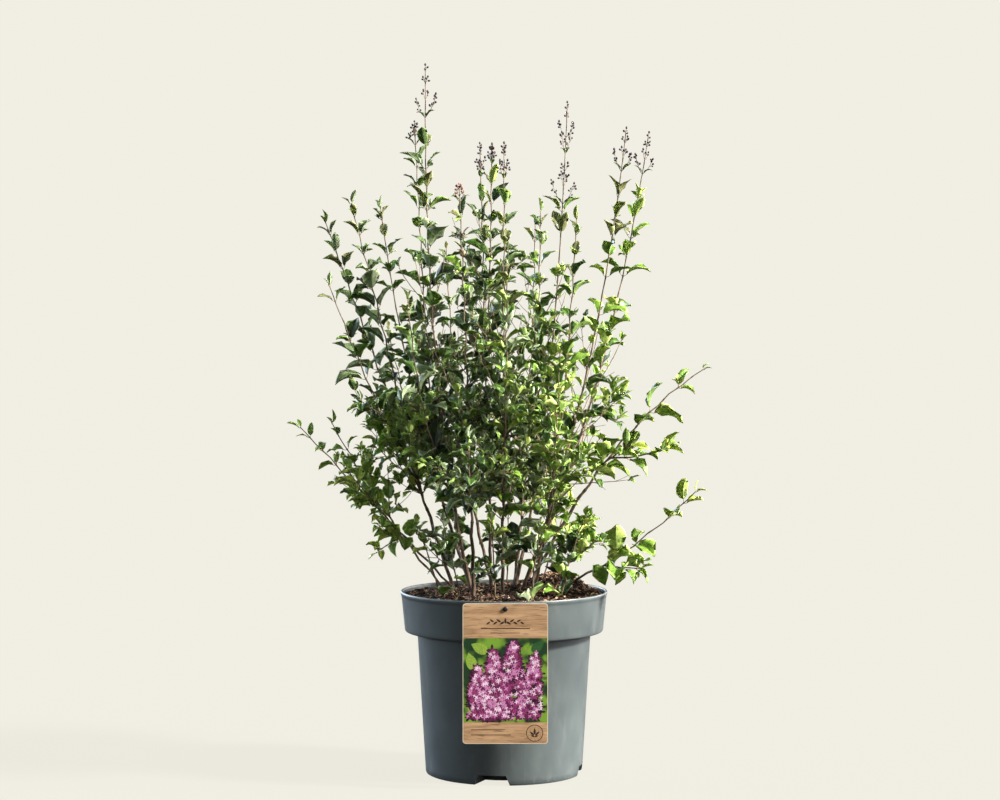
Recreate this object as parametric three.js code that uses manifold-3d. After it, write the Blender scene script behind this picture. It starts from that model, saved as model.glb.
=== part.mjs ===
// A small-leaved lilac bush in a twelve-litre nursery pot, with a blank care label on its rim.
// Millimetres, +Z up. The origin is the centre of the pot's flat underside, -Y is the label side.
import * as THREE from 'three';
import { mergeVertices } from 'three/addons/utils/BufferGeometryUtils.js';
import Module from 'manifold-3d';

const wasm = await Module();
wasm.setup();

// ---------------------------------------------------------------- driving dimensions
const TURN = Math.PI * 2;
const GAP = 0.3;
const X_AXIS = new THREE.Vector3(1, 0, 0);
const Y_AXIS = new THREE.Vector3(0, 1, 0);
const Z_AXIS = new THREE.Vector3(0, 0, 1);

// Pot: a tapered body, a deep collar and a shelf between them.
const POT_HEIGHT = 256;
const POT_WALL = 2.2;
const POT_FACETS = 40;
const FOOT_RADIUS = 110;
const FOOT_CHAMFER = 3;
const BODY_TOP_RADIUS = 121.5;
const COLLAR_FOOT_RADIUS = 139;
const RIM_RADIUS = 145;
const COLLAR_DEPTH = 56;
const SHELF_RISE = 3;

// Drain arches: four low pockets in the foot of the wall, open outwards and downwards.
const ARCH_COUNT = 4;
const ARCH_FIRST_ANGLE = THREE.MathUtils.degToRad(-99);
const ARCH_HEIGHT = 14;
const ARCH_TOP_WIDTH = 39;
const ARCH_FOOT_WIDTH = 50;
const ARCH_DEPTH = 16;

// Compost: level with the rim's inside, heaped up on the right.
const COMPOST_LEVEL = 249;
const COMPOST_RINGS = [0, 42, 78, 112];
const HEAPS = [
  { x: 81, y: 30, height: 26, spread: 36 },
  { x: -15, y: 10, height: 9, spread: 62 },
];

// Care label and the peg that holds it to the collar.
const LABEL_WIDTH = 115;
const LABEL_HEIGHT = 190;
const LABEL_THICKNESS = 0.8;
const LABEL_CORNER = 4.5;
const LABEL_X = 1.6;
const LABEL_TOP = 254.2;
const PEG_Z = 246.5;
const PEG_RADIUS = 1.5;
const PEG_HEAD_RADIUS = 3.4;
const PEG_HEAD = 1.3;
const PEG_FACETS = 12;

// Limbs and twigs. Girths are the radii of a limb's corners.
const ROOT_DEPTH = 8;
const SOCKET_REACH = 40;
const LIMB_SIDES = 6;
const LIMB_RINGS = 4;
const LIMB_FLARE = 0.35;
const FORK_GIRTH = 2.3;
const TIP_GIRTH = 1.1;
const SHOOT_GIRTH = 1.9;
const TWIG_GIRTH = 1.5;
const TWIG_TIP = 1.0;
const BAND = 3;

// Leaves: a blade folded up from its midrib, its tip hanging, as thick at the root as its band.
const LEAF_LENGTH = 44;
const LEAF_WIDTH = 34;
const LEAF_FOLD = 3.2;
const LEAF_DROOP = 5;
const LEAF_BELLY = 0.4;
const LEAF_SMALLEST = 0.6;
const NECK = 0.12;

// How a shoot is clothed.
const NODE_STEP = 76;
const PAIR_OPENING = THREE.MathUtils.degToRad(58);
const TWIG_OPENING = THREE.MathUtils.degToRad(50);
const TWIG_LENGTH = 62;
const TWIG_ZONE = 0.62;
const TWIG_LIFT = 0.16;
const TWIG_NODES = [0.5, 0.9];
const TRIES = 4;
const CHORDS = 8;
const SPACE_MARGIN = 1.6;
const LIMB_MARGIN = 2.2;
const GROUND_MARGIN = 4;
const LOWEST_LEAF = 246;

// Unopened flower heads at the tips.
const HEAD_LENGTH = 74;
const BUD_RADIUS = 3.1;
const BUD_LENGTH = 5;
const BUD_STEP = 13;
const BUD_STALK = 4;
const BUD_SPREAD = 13;
const BUD_OPENING = 0.9;

// Each stem rises from its foot in the compost to the tip of its main shoot. The knee is the share of
// the sideways way, and of the height, made where the stem turns. Bare is the share of the stem that
// is a clean limb. Further shoots leave the main one at a share of its length. Head is the share of a
// full flower head that the tip carries.
const STEMS = [
  { name: 'front', foot: [-42, -55], girth: 3.6, bare: 0.2,
    tip: [-61, -110, 817], knee: [0.3, 0.45], head: 0.35,
    shoots: [{ from: 0.26, tip: [-47, -205, 477], knee: [0.8, 0.3] }] },
  { name: 'left_tall', foot: [-43, -15], girth: 3.3, bare: 0.2,
    tip: [-109, -20, 986], knee: [1.05, 0.37], head: 1,
    shoots: [{ from: 0.26, tip: [-129, -150, 662], knee: [0.75, 0.3] }] },
  { name: 'left_fan', foot: [-68, 12], girth: 3, bare: 0.24,
    tip: [-250, 10, 772], knee: [0.42, 0.45], head: 0,
    shoots: [
      { from: 0.34, tip: [-212, -30, 797], knee: [0.45, 0.5] },
      { from: 0.3, tip: [-238, -90, 682], knee: [0.5, 0.4] },
    ] },
  { name: 'left_low', foot: [-56, -30], girth: 2.4, bare: 0.36,
    tip: [-284, -20, 486], knee: [0.42, 0.42], head: 0,
    shoots: [
      { from: 0.5, tip: [-219, -60, 432], knee: [0.5, 0.5] },
      { from: 0.4, tip: [-173, -70, 318], knee: [0.5, 0.3] },
    ] },
  { name: 'left_back_low', foot: [-76, 42], girth: 2.4, bare: 0.36,
    tip: [-244, 50, 488], knee: [0.5, 0.36], head: 0,
    shoots: [{ from: 0.42, tip: [-205, 120, 420], knee: [0.5, 0.5] }] },
  { name: 'left_back', foot: [-44, 46], girth: 3, bare: 0.23,
    tip: [-177, 90, 797], knee: [0.7, 0.45], head: 0,
    shoots: [
      { from: 0.32, tip: [-127, 60, 914], knee: [0.5, 0.4], head: 0.45 },
      { from: 0.3, tip: [-171, 190, 620], knee: [0.6, 0.4] },
    ] },
  { name: 'back_left', foot: [-14, 62], girth: 2.8, bare: 0.23,
    tip: [-84, 150, 740], knee: [0.8, 0.36], head: 0,
    shoots: [{ from: 0.28, tip: [-21, 230, 523], knee: [0.6, 0.4] }] },
  { name: 'centre_left', foot: [-18, -6], girth: 2.8, bare: 0.2,
    tip: [-34, 40, 882], knee: [0.3, 0.4], head: 0.7,
    shoots: [{ from: 0.55, tip: [-17, 5, 878], knee: [0.8, 0.4], head: 0.4 }] },
  { name: 'centre', foot: [-2, -40], girth: 3.2, bare: 0.2,
    tip: [0, -60, 875], knee: [0.6, 0.4], head: 0.7,
    shoots: [{ from: 0.27, tip: [4, -160, 709], knee: [0.75, 0.35] }] },
  { name: 'centre_right', foot: [13, 8], girth: 3.8, bare: 0.2,
    tip: [89, 20, 938], knee: [0.75, 0.3], head: 1.3,
    shoots: [{ from: 0.33, tip: [52, 60, 790], knee: [0.2, 0.4] }] },
  { name: 'front_right', foot: [38, -46], girth: 2.8, bare: 0.22,
    tip: [98, -118, 772], knee: [0.7, 0.35], head: 0,
    shoots: [{ from: 0.28, tip: [74, -175, 590], knee: [0.7, 0.35] }] },
  { name: 'right', foot: [22, -20], girth: 3.2, bare: 0.21,
    tip: [169, -30, 898], knee: [0.72, 0.42], head: 0.9,
    shoots: [{ from: 0.27, tip: [178, -70, 470], knee: [0.6, 0.4] }] },
  { name: 'right_back', foot: [28, 34], girth: 3.2, bare: 0.21,
    tip: [206, 70, 899], knee: [0.68, 0.42], head: 0.9,
    shoots: [{ from: 0.27, tip: [153, 175, 613], knee: [0.6, 0.36] }] },
  { name: 'back_right', foot: [14, 62], girth: 2.8, bare: 0.23,
    tip: [46, 170, 775], knee: [0.8, 0.36], head: 0,
    shoots: [{ from: 0.28, tip: [72, 222, 560], knee: [0.6, 0.36] }] },
  { name: 'right_arch', foot: [34, 6], girth: 2.8, bare: 0.34,
    tip: [280, 10, 566], knee: [0.42, 0.7], head: 0,
    shoots: [{ from: 0.5, tip: [230, -40, 462], knee: [0.7, 0.1] }] },
  { name: 'right_low', foot: [54, -14], girth: 2.4, bare: 0.36,
    tip: [266, -40, 398], knee: [0.5, 0.24], head: 0,
    shoots: [{ from: 0.4, tip: [188, -60, 292], knee: [0.5, 0.6] }] },
];

// Young shoots that come straight out of the compost round the clump, clothed nearly to the ground.
const SUCKERS = [
  { name: 'shoot_front', foot: [-12, -72], tip: [-18, -112, 372], knee: [0.4, 0.6] },
  { name: 'shoot_left', foot: [-88, -34], tip: [-122, -58, 352], knee: [0.4, 0.6] },
  { name: 'shoot_right', foot: [78, -44], tip: [112, -78, 366], knee: [0.4, 0.6] },
  { name: 'shoot_front_left', foot: [-60, -68], tip: [-84, -112, 362], knee: [0.4, 0.6] },
  { name: 'shoot_front_right', foot: [36, -84], tip: [50, -122, 358], knee: [0.4, 0.6] },
  { name: 'shoot_back_right', foot: [54, 66], tip: [96, 104, 372], knee: [0.4, 0.6] },
  { name: 'shoot_back_left', foot: [-50, 84], tip: [-80, 126, 372], knee: [0.4, 0.6] },
  { name: 'shoot_back', foot: [4, 94], tip: [8, 132, 380], knee: [0.4, 0.6] },
];

// ---------------------------------------------------------------- materials
const plastic = new THREE.MeshStandardMaterial({ color: 0x3a3f43, roughness: 0.42, metalness: 0 });
const compost = new THREE.MeshStandardMaterial({ color: 0x3b2a1f, roughness: 0.95, metalness: 0 });
const card = new THREE.MeshStandardMaterial({ color: 0xa78564, roughness: 0.5, metalness: 0 });
const pegPlastic = new THREE.MeshStandardMaterial({ color: 0x141414, roughness: 0.5, metalness: 0 });
const bark = new THREE.MeshStandardMaterial({ color: 0x6b5443, roughness: 0.8, metalness: 0 });
const foliage = new THREE.MeshStandardMaterial({ color: 0x4f6a2f, roughness: 0.55, metalness: 0 });

// ---------------------------------------------------------------- solids
// A closed three.js geometry as a manifold solid.
function solidOf(geometry) {
  const bare = geometry.clone();
  bare.deleteAttribute('normal');
  bare.deleteAttribute('uv');
  const merged = mergeVertices(bare, 1e-4);
  const vertProperties = new Float32Array(merged.getAttribute('position').array);
  const triVerts = new Uint32Array(merged.getIndex().array);
  return new wasm.Manifold(new wasm.Mesh({ numProp: 3, vertProperties, triVerts }));
}

// A manifold solid as a three.js geometry.
function geometryOf(solid) {
  const mesh = solid.getMesh();
  const geometry = new THREE.BufferGeometry();
  geometry.setAttribute('position', new THREE.BufferAttribute(mesh.vertProperties, 3));
  geometry.setIndex(new THREE.BufferAttribute(mesh.triVerts, 1));
  geometry.computeVertexNormals();
  return geometry;
}

const group = new THREE.Group();

function addMesh(name, geometry, material) {
  const mesh = new THREE.Mesh(geometry, material);
  mesh.name = name;
  group.add(mesh);
}

// A repeatable chance between 0 and 1 for a seed and a count.
function chance(seed, count) {
  const wave = Math.sin(seed * 127.1 + count * 311.7 + 17.3) * 43758.5453;
  return wave - Math.floor(wave);
}

// ---------------------------------------------------------------- pot
// Turn a profile of [radius, height] pairs about the Z axis.
function turned(profile, facets) {
  const points = profile.map(([radius, height]) => new THREE.Vector2(radius, height));
  return new THREE.LatheGeometry(points, facets).rotateX(Math.PI / 2);
}

// A trapezoid block on the wall's foot: wide at the bottom, reaching inwards by depth.
function archBlock(angle, spare, inner, outer, floor) {
  const shape = new THREE.Shape();
  const top = ARCH_HEIGHT + spare;
  const lean = (ARCH_FOOT_WIDTH - ARCH_TOP_WIDTH) / 2 / ARCH_HEIGHT;
  const halfAt = (height) => ARCH_FOOT_WIDTH / 2 - lean * height + spare;
  shape.moveTo(-halfAt(floor), floor);
  shape.lineTo(halfAt(floor), floor);
  shape.lineTo(halfAt(top), top);
  shape.lineTo(-halfAt(top), top);
  shape.closePath();
  const block = new THREE.ExtrudeGeometry(shape, { depth: outer - inner, bevelEnabled: false });
  return block
    .rotateX(Math.PI / 2)
    .translate(0, outer, 0)
    .rotateZ(angle - Math.PI / 2);
}

const shelfZ = POT_HEIGHT - COLLAR_DEPTH;
const potProfile = [
  [0, 0],
  [FOOT_RADIUS - FOOT_CHAMFER, 0],
  [FOOT_RADIUS, FOOT_CHAMFER],
  [BODY_TOP_RADIUS, shelfZ - SHELF_RISE],
  [COLLAR_FOOT_RADIUS - 1, shelfZ],
  [COLLAR_FOOT_RADIUS, shelfZ + 2],
  [RIM_RADIUS - 0.6, POT_HEIGHT - 4],
  [RIM_RADIUS, POT_HEIGHT - 1],
  [RIM_RADIUS - 1, POT_HEIGHT],
  [RIM_RADIUS - POT_WALL - 0.6, POT_HEIGHT],
  [COLLAR_FOOT_RADIUS - POT_WALL, shelfZ + POT_WALL],
  [BODY_TOP_RADIUS - POT_WALL, shelfZ - SHELF_RISE + POT_WALL],
  [FOOT_RADIUS - POT_WALL, POT_WALL + 2],
  [FOOT_RADIUS - POT_WALL - 2, POT_WALL],
  [0, POT_WALL],
];

// Fill, peg hole and arches are cut in this order, so the arches keep their own walls.
function makePot() {
  let pot = solidOf(turned(potProfile, POT_FACETS));
  const innerEnd = FOOT_RADIUS - ARCH_DEPTH;
  for (let i = 0; i < ARCH_COUNT; i += 1) {
    const angle = ARCH_FIRST_ANGLE + (i / ARCH_COUNT) * TURN;
    const walls = archBlock(angle, POT_WALL, innerEnd - POT_WALL, FOOT_RADIUS - POT_WALL, 0.5);
    pot = pot.add(solidOf(walls));
    const hollow = archBlock(angle, 0, innerEnd, FOOT_RADIUS + 10, -1);
    pot = pot.subtract(solidOf(hollow));
  }
  const hole = new THREE.CylinderGeometry(PEG_RADIUS + GAP, PEG_RADIUS + GAP, 20, PEG_FACETS);
  hole.translate(LABEL_X, -RIM_RADIUS, PEG_Z);
  return pot.subtract(solidOf(hole));
}

addMesh('pot', geometryOf(makePot()), plastic);

// ---------------------------------------------------------------- compost
// Height of the compost over a place in the pot: the level plus its heaps, dying out at the wall.
function ground(x, y) {
  const edge = Math.min(1, Math.hypot(x, y) / (RIM_RADIUS - POT_WALL));
  const calm = 1 - edge ** 6;
  return HEAPS.reduce((z, heap) => {
    const away = ((x - heap.x) ** 2 + (y - heap.y) ** 2) / (2 * heap.spread ** 2);
    return z + heap.height * calm * Math.exp(-away);
  }, COMPOST_LEVEL);
}

function makeCompost(feet) {
  const slope = (RIM_RADIUS - COLLAR_FOOT_RADIUS) / COLLAR_DEPTH;
  const clear = POT_WALL + 0.6 + GAP;
  const topEdge = RIM_RADIUS - clear - slope * (POT_HEIGHT - COMPOST_LEVEL);
  const profile = [
    [0, POT_WALL + GAP],
    [FOOT_RADIUS - POT_WALL - 2 - GAP, POT_WALL + GAP],
    [FOOT_RADIUS - POT_WALL - GAP, POT_WALL + 2 + GAP],
    [BODY_TOP_RADIUS - POT_WALL - GAP, shelfZ - SHELF_RISE + POT_WALL + GAP],
    [COLLAR_FOOT_RADIUS - POT_WALL - 2 * GAP, shelfZ + POT_WALL + 2 * GAP],
    [topEdge, COMPOST_LEVEL],
    ...COMPOST_RINGS.slice().reverse().map((radius) => [radius, COMPOST_LEVEL]),
  ];
  const body = turned(profile, POT_FACETS);
  const place = body.getAttribute('position');
  for (let i = 0; i < place.count; i += 1) {
    if (place.getZ(i) > COMPOST_LEVEL - 0.01) {
      place.setZ(i, ground(place.getX(i), place.getY(i)));
    }
  }
  let solid = solidOf(body);
  const innerEnd = FOOT_RADIUS - ARCH_DEPTH - POT_WALL - GAP;
  for (let i = 0; i < ARCH_COUNT; i += 1) {
    const angle = ARCH_FIRST_ANGLE + (i / ARCH_COUNT) * TURN;
    solid = solid.subtract(solidOf(archBlock(angle, POT_WALL + GAP, innerEnd, FOOT_RADIUS + 10, -1)));
  }
  return feet.reduce((rest, foot) => rest.subtract(foot), solid);
}

// ---------------------------------------------------------------- label and peg
const labelFace = -(RIM_RADIUS + GAP);

function makeLabel() {
  const left = -LABEL_WIDTH / 2;
  const right = LABEL_WIDTH / 2;
  const low = -LABEL_HEIGHT;
  const c = LABEL_CORNER;
  const shape = new THREE.Shape();
  shape.moveTo(left + c, low);
  shape.lineTo(right - c, low);
  shape.absarc(right - c, low + c, c, -Math.PI / 2, 0);
  shape.absarc(right - c, -c, c, 0, Math.PI / 2);
  shape.absarc(left + c, -c, c, Math.PI / 2, Math.PI);
  shape.absarc(left + c, low + c, c, Math.PI, Math.PI * 1.5);
  const hole = new THREE.Path();
  hole.absarc(0, PEG_Z - LABEL_TOP, PEG_RADIUS + GAP, 0, TURN, true);
  shape.holes.push(hole);
  const sheet = new THREE.ExtrudeGeometry(shape, {
    depth: LABEL_THICKNESS,
    bevelEnabled: false,
    curveSegments: 4,
  });
  return sheet.rotateX(Math.PI / 2).translate(LABEL_X, labelFace, LABEL_TOP);
}

function makePeg() {
  const head = -labelFace + LABEL_THICKNESS + GAP;
  const profile = [
    [0, RIM_RADIUS - POT_WALL],
    [PEG_RADIUS, RIM_RADIUS - POT_WALL],
    [PEG_RADIUS, head],
    [PEG_HEAD_RADIUS, head],
    [PEG_HEAD_RADIUS - 0.5, head + PEG_HEAD],
    [0, head + PEG_HEAD],
  ];
  const points = profile.map(([radius, out]) => new THREE.Vector2(radius, out));
  return new THREE.LatheGeometry(points, PEG_FACETS).rotateX(Math.PI).translate(LABEL_X, 0, PEG_Z);
}

addMesh('label', geometryOf(solidOf(makeLabel())), card);
addMesh('label_peg', geometryOf(solidOf(makePeg())), pegPlastic);

// ---------------------------------------------------------------- shoots
// A shoot's line: from a start, over its knee, to its tip.
function shootCurve(start, tip, knee) {
  const turn = new THREE.Vector3(
    THREE.MathUtils.lerp(start.x, tip.x, knee[0]),
    THREE.MathUtils.lerp(start.y, tip.y, knee[0]),
    THREE.MathUtils.lerp(start.z, tip.z, knee[1]),
  );
  return new THREE.QuadraticBezierCurve3(start, turn, tip);
}

// The steady sideways direction of a shoot, square to the plane it bends in.
function sideOf(curve) {
  const first = curve.v1.clone().sub(curve.v0);
  const second = curve.v2.clone().sub(curve.v1);
  const side = first.clone().cross(second);
  if (side.length() < 1e-3 * first.length() * second.length()) {
    side.crossVectors(first, Math.abs(first.x) < Math.abs(first.y) ? X_AXIS : Y_AXIS);
  }
  return side.normalize();
}

// The three directions at a place on a shoot: along it, and two square to it.
function frameAt(curve, share) {
  const first = curve.v1.clone().sub(curve.v0);
  const second = curve.v2.clone().sub(curve.v1);
  const along = first.lerp(second, share).normalize();
  const side = sideOf(curve);
  const out = along.clone().cross(side).normalize();
  return { at: curve.getPoint(share), along, side, out };
}

// A tapering limb: rings of corners carried along a curve and closed by flat ends.
function limb(curve, from, to, girthAt, sides, rings) {
  const corners = [];
  for (let ring = 0; ring <= rings; ring += 1) {
    const share = ring / rings;
    const { at, side, out } = frameAt(curve, from + (to - from) * share);
    for (let i = 0; i < sides; i += 1) {
      const turn = (i / sides) * TURN;
      const corner = at.clone();
      corner.addScaledVector(side, girthAt(share) * Math.cos(turn));
      corner.addScaledVector(out, girthAt(share) * Math.sin(turn));
      corners.push(corner.x, corner.y, corner.z);
    }
  }
  const faces = [];
  for (let ring = 0; ring < rings; ring += 1) {
    for (let i = 0; i < sides; i += 1) {
      const a = ring * sides + i;
      const b = ring * sides + ((i + 1) % sides);
      faces.push(a, b, a + sides, b, b + sides, a + sides);
    }
  }
  const last = rings * sides;
  for (let i = 1; i < sides - 1; i += 1) {
    faces.push(0, i + 1, i);
    faces.push(last, last + i, last + i + 1);
  }
  const geometry = new THREE.BufferGeometry();
  geometry.setAttribute('position', new THREE.Float32BufferAttribute(corners, 3));
  geometry.setIndex(faces);
  return geometry;
}

// The free corners of a leaf on a root: its two widest points and its tip.
function leafCorners(root, heading, size, roll) {
  const along = heading.clone().normalize();
  const side = along.clone().cross(Z_AXIS);
  if (side.length() < 0.05) {
    side.copy(X_AXIS);
  }
  side.normalize().applyAxisAngle(along, roll);
  const up = side.clone().cross(along);
  const place = (forward, sideways, upward) => root.clone()
    .addScaledVector(along, forward)
    .addScaledVector(side, sideways)
    .addScaledVector(up, upward);
  const length = LEAF_LENGTH * size;
  const half = (LEAF_WIDTH * size) / 2;
  const belly = LEAF_BELLY * length;
  return {
    root,
    left: place(belly, -half, LEAF_FOLD * size),
    right: place(belly, half, LEAF_FOLD * size),
    tip: place(length, 0, -LEAF_DROOP * size),
  };
}

// One closed skin that a shoot and all it carries are grown on.
class Skin {
  corners = [];

  faces = [];

  add(corner) {
    this.corners.push(corner);
    return this.corners.length - 1;
  }

  face(a, b, c) {
    this.faces.push(a, b, c);
  }

  middle(loop) {
    const sum = loop.reduce((total, i) => total.add(this.corners[i]), new THREE.Vector3());
    return sum.divideScalar(loop.length);
  }

  geometry() {
    const geometry = new THREE.BufferGeometry();
    const numbers = this.corners.flatMap((corner) => [corner.x, corner.y, corner.z]);
    geometry.setAttribute('position', new THREE.Float32BufferAttribute(numbers, 3));
    geometry.setIndex(this.faces);
    geometry.computeVertexNormals();
    return geometry;
  }
}

// Three corners round a shoot.
function ringOn(skin, curve, share, girth, spin) {
  const { at, side, out } = frameAt(curve, share);
  return [0, 1, 2].map((i) => {
    const turn = spin + (i / 3) * TURN;
    const corner = at.clone();
    corner.addScaledVector(side, girth * Math.cos(turn));
    corner.addScaledVector(out, girth * Math.sin(turn));
    return skin.add(corner);
  });
}

// Skin between two rings. A side that is left open has a mouth, where a leaf or twig grows out.
function bridge(skin, lower, upper, open = []) {
  for (let i = 0; i < 3; i += 1) {
    const next = (i + 1) % 3;
    skin.face(lower[i], lower[next], upper[i]);
    if (!open.includes(i)) {
      skin.face(lower[next], upper[next], upper[i]);
    }
  }
}

function mouthOf(lower, upper, i) {
  const next = (i + 1) % 3;
  return [upper[next], upper[i], lower[next]];
}

// Six times the volume of the body between four corners, negative when it is inside out.
function bulk(p, q, r, s) {
  return q.clone().sub(p).cross(r.clone().sub(p)).dot(s.clone().sub(p));
}

// Close a mouth with a leaf. One edge of the mouth spans the leaf's root, and the corner over against
// it is the keel. Of all ways round, the one is taken whose thinner half of the blade is thickest.
function leafOn(skin, mouth, leaf) {
  const ways = [0, 1, 2].flatMap((i) => [[leaf.left, leaf.right], [leaf.right, leaf.left]]
    .map(([sideA, sideB]) => {
      const [a, b, keel] = [0, 1, 2].map((step) => mouth[(i + step) % 3]);
      const [cornerA, cornerB, bottom] = [a, b, keel].map((number) => skin.corners[number]);
      const halfA = bulk(cornerA, sideA, leaf.tip, bottom);
      const halfB = bulk(sideB, cornerB, leaf.tip, bottom);
      return { a, b, keel, sideA, sideB, thinner: Math.min(halfA, halfB) };
    }));
  const { a, b, keel, sideA, sideB } = ways.sort((one, other) => other.thinner - one.thinner)[0];
  const nearA = skin.add(sideA);
  const nearB = skin.add(sideB);
  const tip = skin.add(leaf.tip);
  skin.face(a, b, tip);
  skin.face(b, keel, nearB);
  skin.face(keel, a, nearA);
  skin.face(nearA, a, tip);
  skin.face(keel, nearA, tip);
  skin.face(nearB, keel, tip);
  skin.face(b, nearB, tip);
}

// Close a mouth with a closed flower bud on a short stalk.
function budOn(skin, mouth, heading, reach, size) {
  const start = skin.middle(mouth);
  const end = start.clone().addScaledVector(heading, reach + BUD_LENGTH * size);
  const curve = shootCurve(start, end, [0.5, 0.5]);
  const spin = spinFrom(skin, mouth, curve);
  const swell = ringOn(skin, curve, reach / (reach + BUD_LENGTH * size), BUD_RADIUS * size, spin);
  bridge(skin, mouth, swell);
  const tip = skin.add(end);
  for (let i = 0; i < 3; i += 1) {
    skin.face(swell[i], swell[(i + 1) % 3], tip);
  }
}

// The turn of a ring whose first corner faces the first corner of a mouth.
function spinFrom(skin, mouth, curve) {
  const { at, side, out } = frameAt(curve, 0);
  const first = skin.corners[mouth[0]].clone().sub(at);
  return Math.atan2(first.dot(out), first.dot(side));
}

// ---------------------------------------------------------------- the plant's plan
// Main shoots, side shoots and limbs as curves, before anything grows on them.
function planStem(stem, seed) {
  const [x, y] = stem.foot;
  const foot = new THREE.Vector3(x, y, ground(x, y) - ROOT_DEPTH);
  const main = shootCurve(foot, new THREE.Vector3(...stem.tip), stem.knee);
  const shoots = [{ curve: main, from: stem.bare ?? 0, girth: FORK_GIRTH, head: stem.head ?? 0 }];
  for (const shoot of stem.shoots ?? []) {
    const start = main.getPoint(shoot.from);
    const curve = shootCurve(start, new THREE.Vector3(...shoot.tip), shoot.knee);
    shoots.push({ curve, from: 0, girth: SHOOT_GIRTH, head: shoot.head ?? 0 });
  }
  const shootShares = (stem.shoots ?? []).map((shoot) => shoot.from);
  return { ...stem, seed, main, shoots, shootShares };
}

const stems = STEMS.map((stem, i) => planStem(stem, i + 1));
const suckers = SUCKERS.map((stem, i) => planStem(stem, STEMS.length + i + 1));

// Straight pieces of a curve between two shares, for measuring distances to it.
function chords(curve, from, to, count) {
  const lines = [];
  for (let i = 0; i < count; i += 1) {
    const low = curve.getPoint(from + ((to - from) * i) / count);
    const high = curve.getPoint(from + ((to - from) * (i + 1)) / count);
    lines.push(new THREE.Line3(low, high));
  }
  return lines;
}

const masses = [...stems, ...suckers];
const spaces = masses.map((stem) => stem.shoots.flatMap((s) => chords(s.curve, s.from, 1, CHORDS)));
const limbLines = stems.flatMap((stem) => chords(stem.main, 0, stem.bare, CHORDS)
  .map((line) => ({ line, girth: stem.girth })));

const nearest = new THREE.Vector3();

function distanceTo(lines, point) {
  let least = Infinity;
  for (const line of lines) {
    line.closestPointToPoint(point, true, nearest);
    least = Math.min(least, nearest.distanceTo(point));
  }
  return least;
}

// A point is in a mass's own space when that mass's shoots are nearer than any other's.
function inSpace(index, point) {
  const own = distanceTo(spaces[index], point) + SPACE_MARGIN;
  return spaces.every((lines, i) => i === index || distanceTo(lines, point) > own);
}

// A point is clear when it is above the pot and its compost, and off every limb.
function clearOfRest(point) {
  const overPot = Math.hypot(point.x, point.y) < RIM_RADIUS + GROUND_MARGIN;
  const top = Math.max(POT_HEIGHT, ground(point.x, point.y)) + GROUND_MARGIN;
  if (point.z < (overPot ? top : LOWEST_LEAF)) {
    return false;
  }
  return limbLines.every(({ line, girth }) => {
    line.closestPointToPoint(point, true, nearest);
    return nearest.distanceTo(point) > girth + LIMB_MARGIN;
  });
}

function fits(index, corners) {
  return corners.every((corner) => inSpace(index, corner) && clearOfRest(corner));
}

// A blade's two upper triangles, from a little way out of its root.
function bladeTriangles({ root, left, right, tip }) {
  const neck = root.clone().lerp(tip, NECK);
  return [new THREE.Triangle(neck, left, tip), new THREE.Triangle(neck, tip, right)];
}

// A blade's edges and midrib as straight lines.
function bladeLines({ root, left, right, tip }) {
  const neck = root.clone().lerp(tip, NECK);
  return [[neck, left], [left, tip], [tip, right], [right, neck], [neck, tip]]
    .map(([from, to]) => new THREE.Line3(from, to));
}

const ray = new THREE.Ray();
const hit = new THREE.Vector3();

function pierces(line, triangle) {
  ray.origin.copy(line.start);
  ray.direction.copy(line.end).sub(line.start).normalize();
  const met = ray.intersectTriangle(triangle.a, triangle.b, triangle.c, false, hit);
  return met !== null && hit.distanceTo(line.start) < line.distance();
}

function meets(lines, triangles) {
  return triangles.some((triangle) => lines.some((line) => pierces(line, triangle)));
}

// Whether a new blade would cut through a blade or twig that is already on its mass.
function crossesBlade(blade, grown) {
  const reach = LEAF_LENGTH * 2;
  const near = grown.blades.filter((other) => other.tip.distanceTo(blade.tip) < reach);
  return near.some((other) => meets(blade.lines, other.triangles) || meets(other.lines, blade.triangles))
    || meets(grown.strands, blade.triangles);
}

// ---------------------------------------------------------------- clothing a shoot
// The direction that leaves a shoot at an opening angle and a turn round it.
function leaving(frame, opening, turn) {
  const away = frame.side.clone().multiplyScalar(Math.cos(turn)).addScaledVector(frame.out, Math.sin(turn));
  return frame.along.clone().multiplyScalar(Math.cos(opening)).addScaledVector(away, Math.sin(opening));
}

// Room for a leaf: the first of a few slightly other turns that stays in its space and cuts nothing.
function findLeaf(grown, frame, opening, turn, size, seed) {
  for (let i = 0; i < TRIES; i += 1) {
    const swing = (chance(seed, i) - 0.5) * (0.5 + i * 0.5);
    const heading = leaving(frame, opening + (chance(seed, i + 20) - 0.5) * 0.4, turn + swing);
    const roll = (chance(seed, i + 40) - 0.5) * 0.9;
    const scale = Math.max(LEAF_SMALLEST, size * (0.85 + 0.3 * chance(seed, i + 60)) * (1 - 0.12 * i));
    const leaf = leafCorners(frame.at, heading, scale, roll);
    leaf.lines = bladeLines(leaf);
    leaf.triangles = bladeTriangles(leaf);
    if (fits(grown.index, [leaf.left, leaf.right, leaf.tip]) && !crossesBlade(leaf, grown)) {
      grown.blades.push(leaf);
      return { heading, close: (skin, mouth) => leafOn(skin, mouth, leaf) };
    }
  }
  return null;
}

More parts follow.
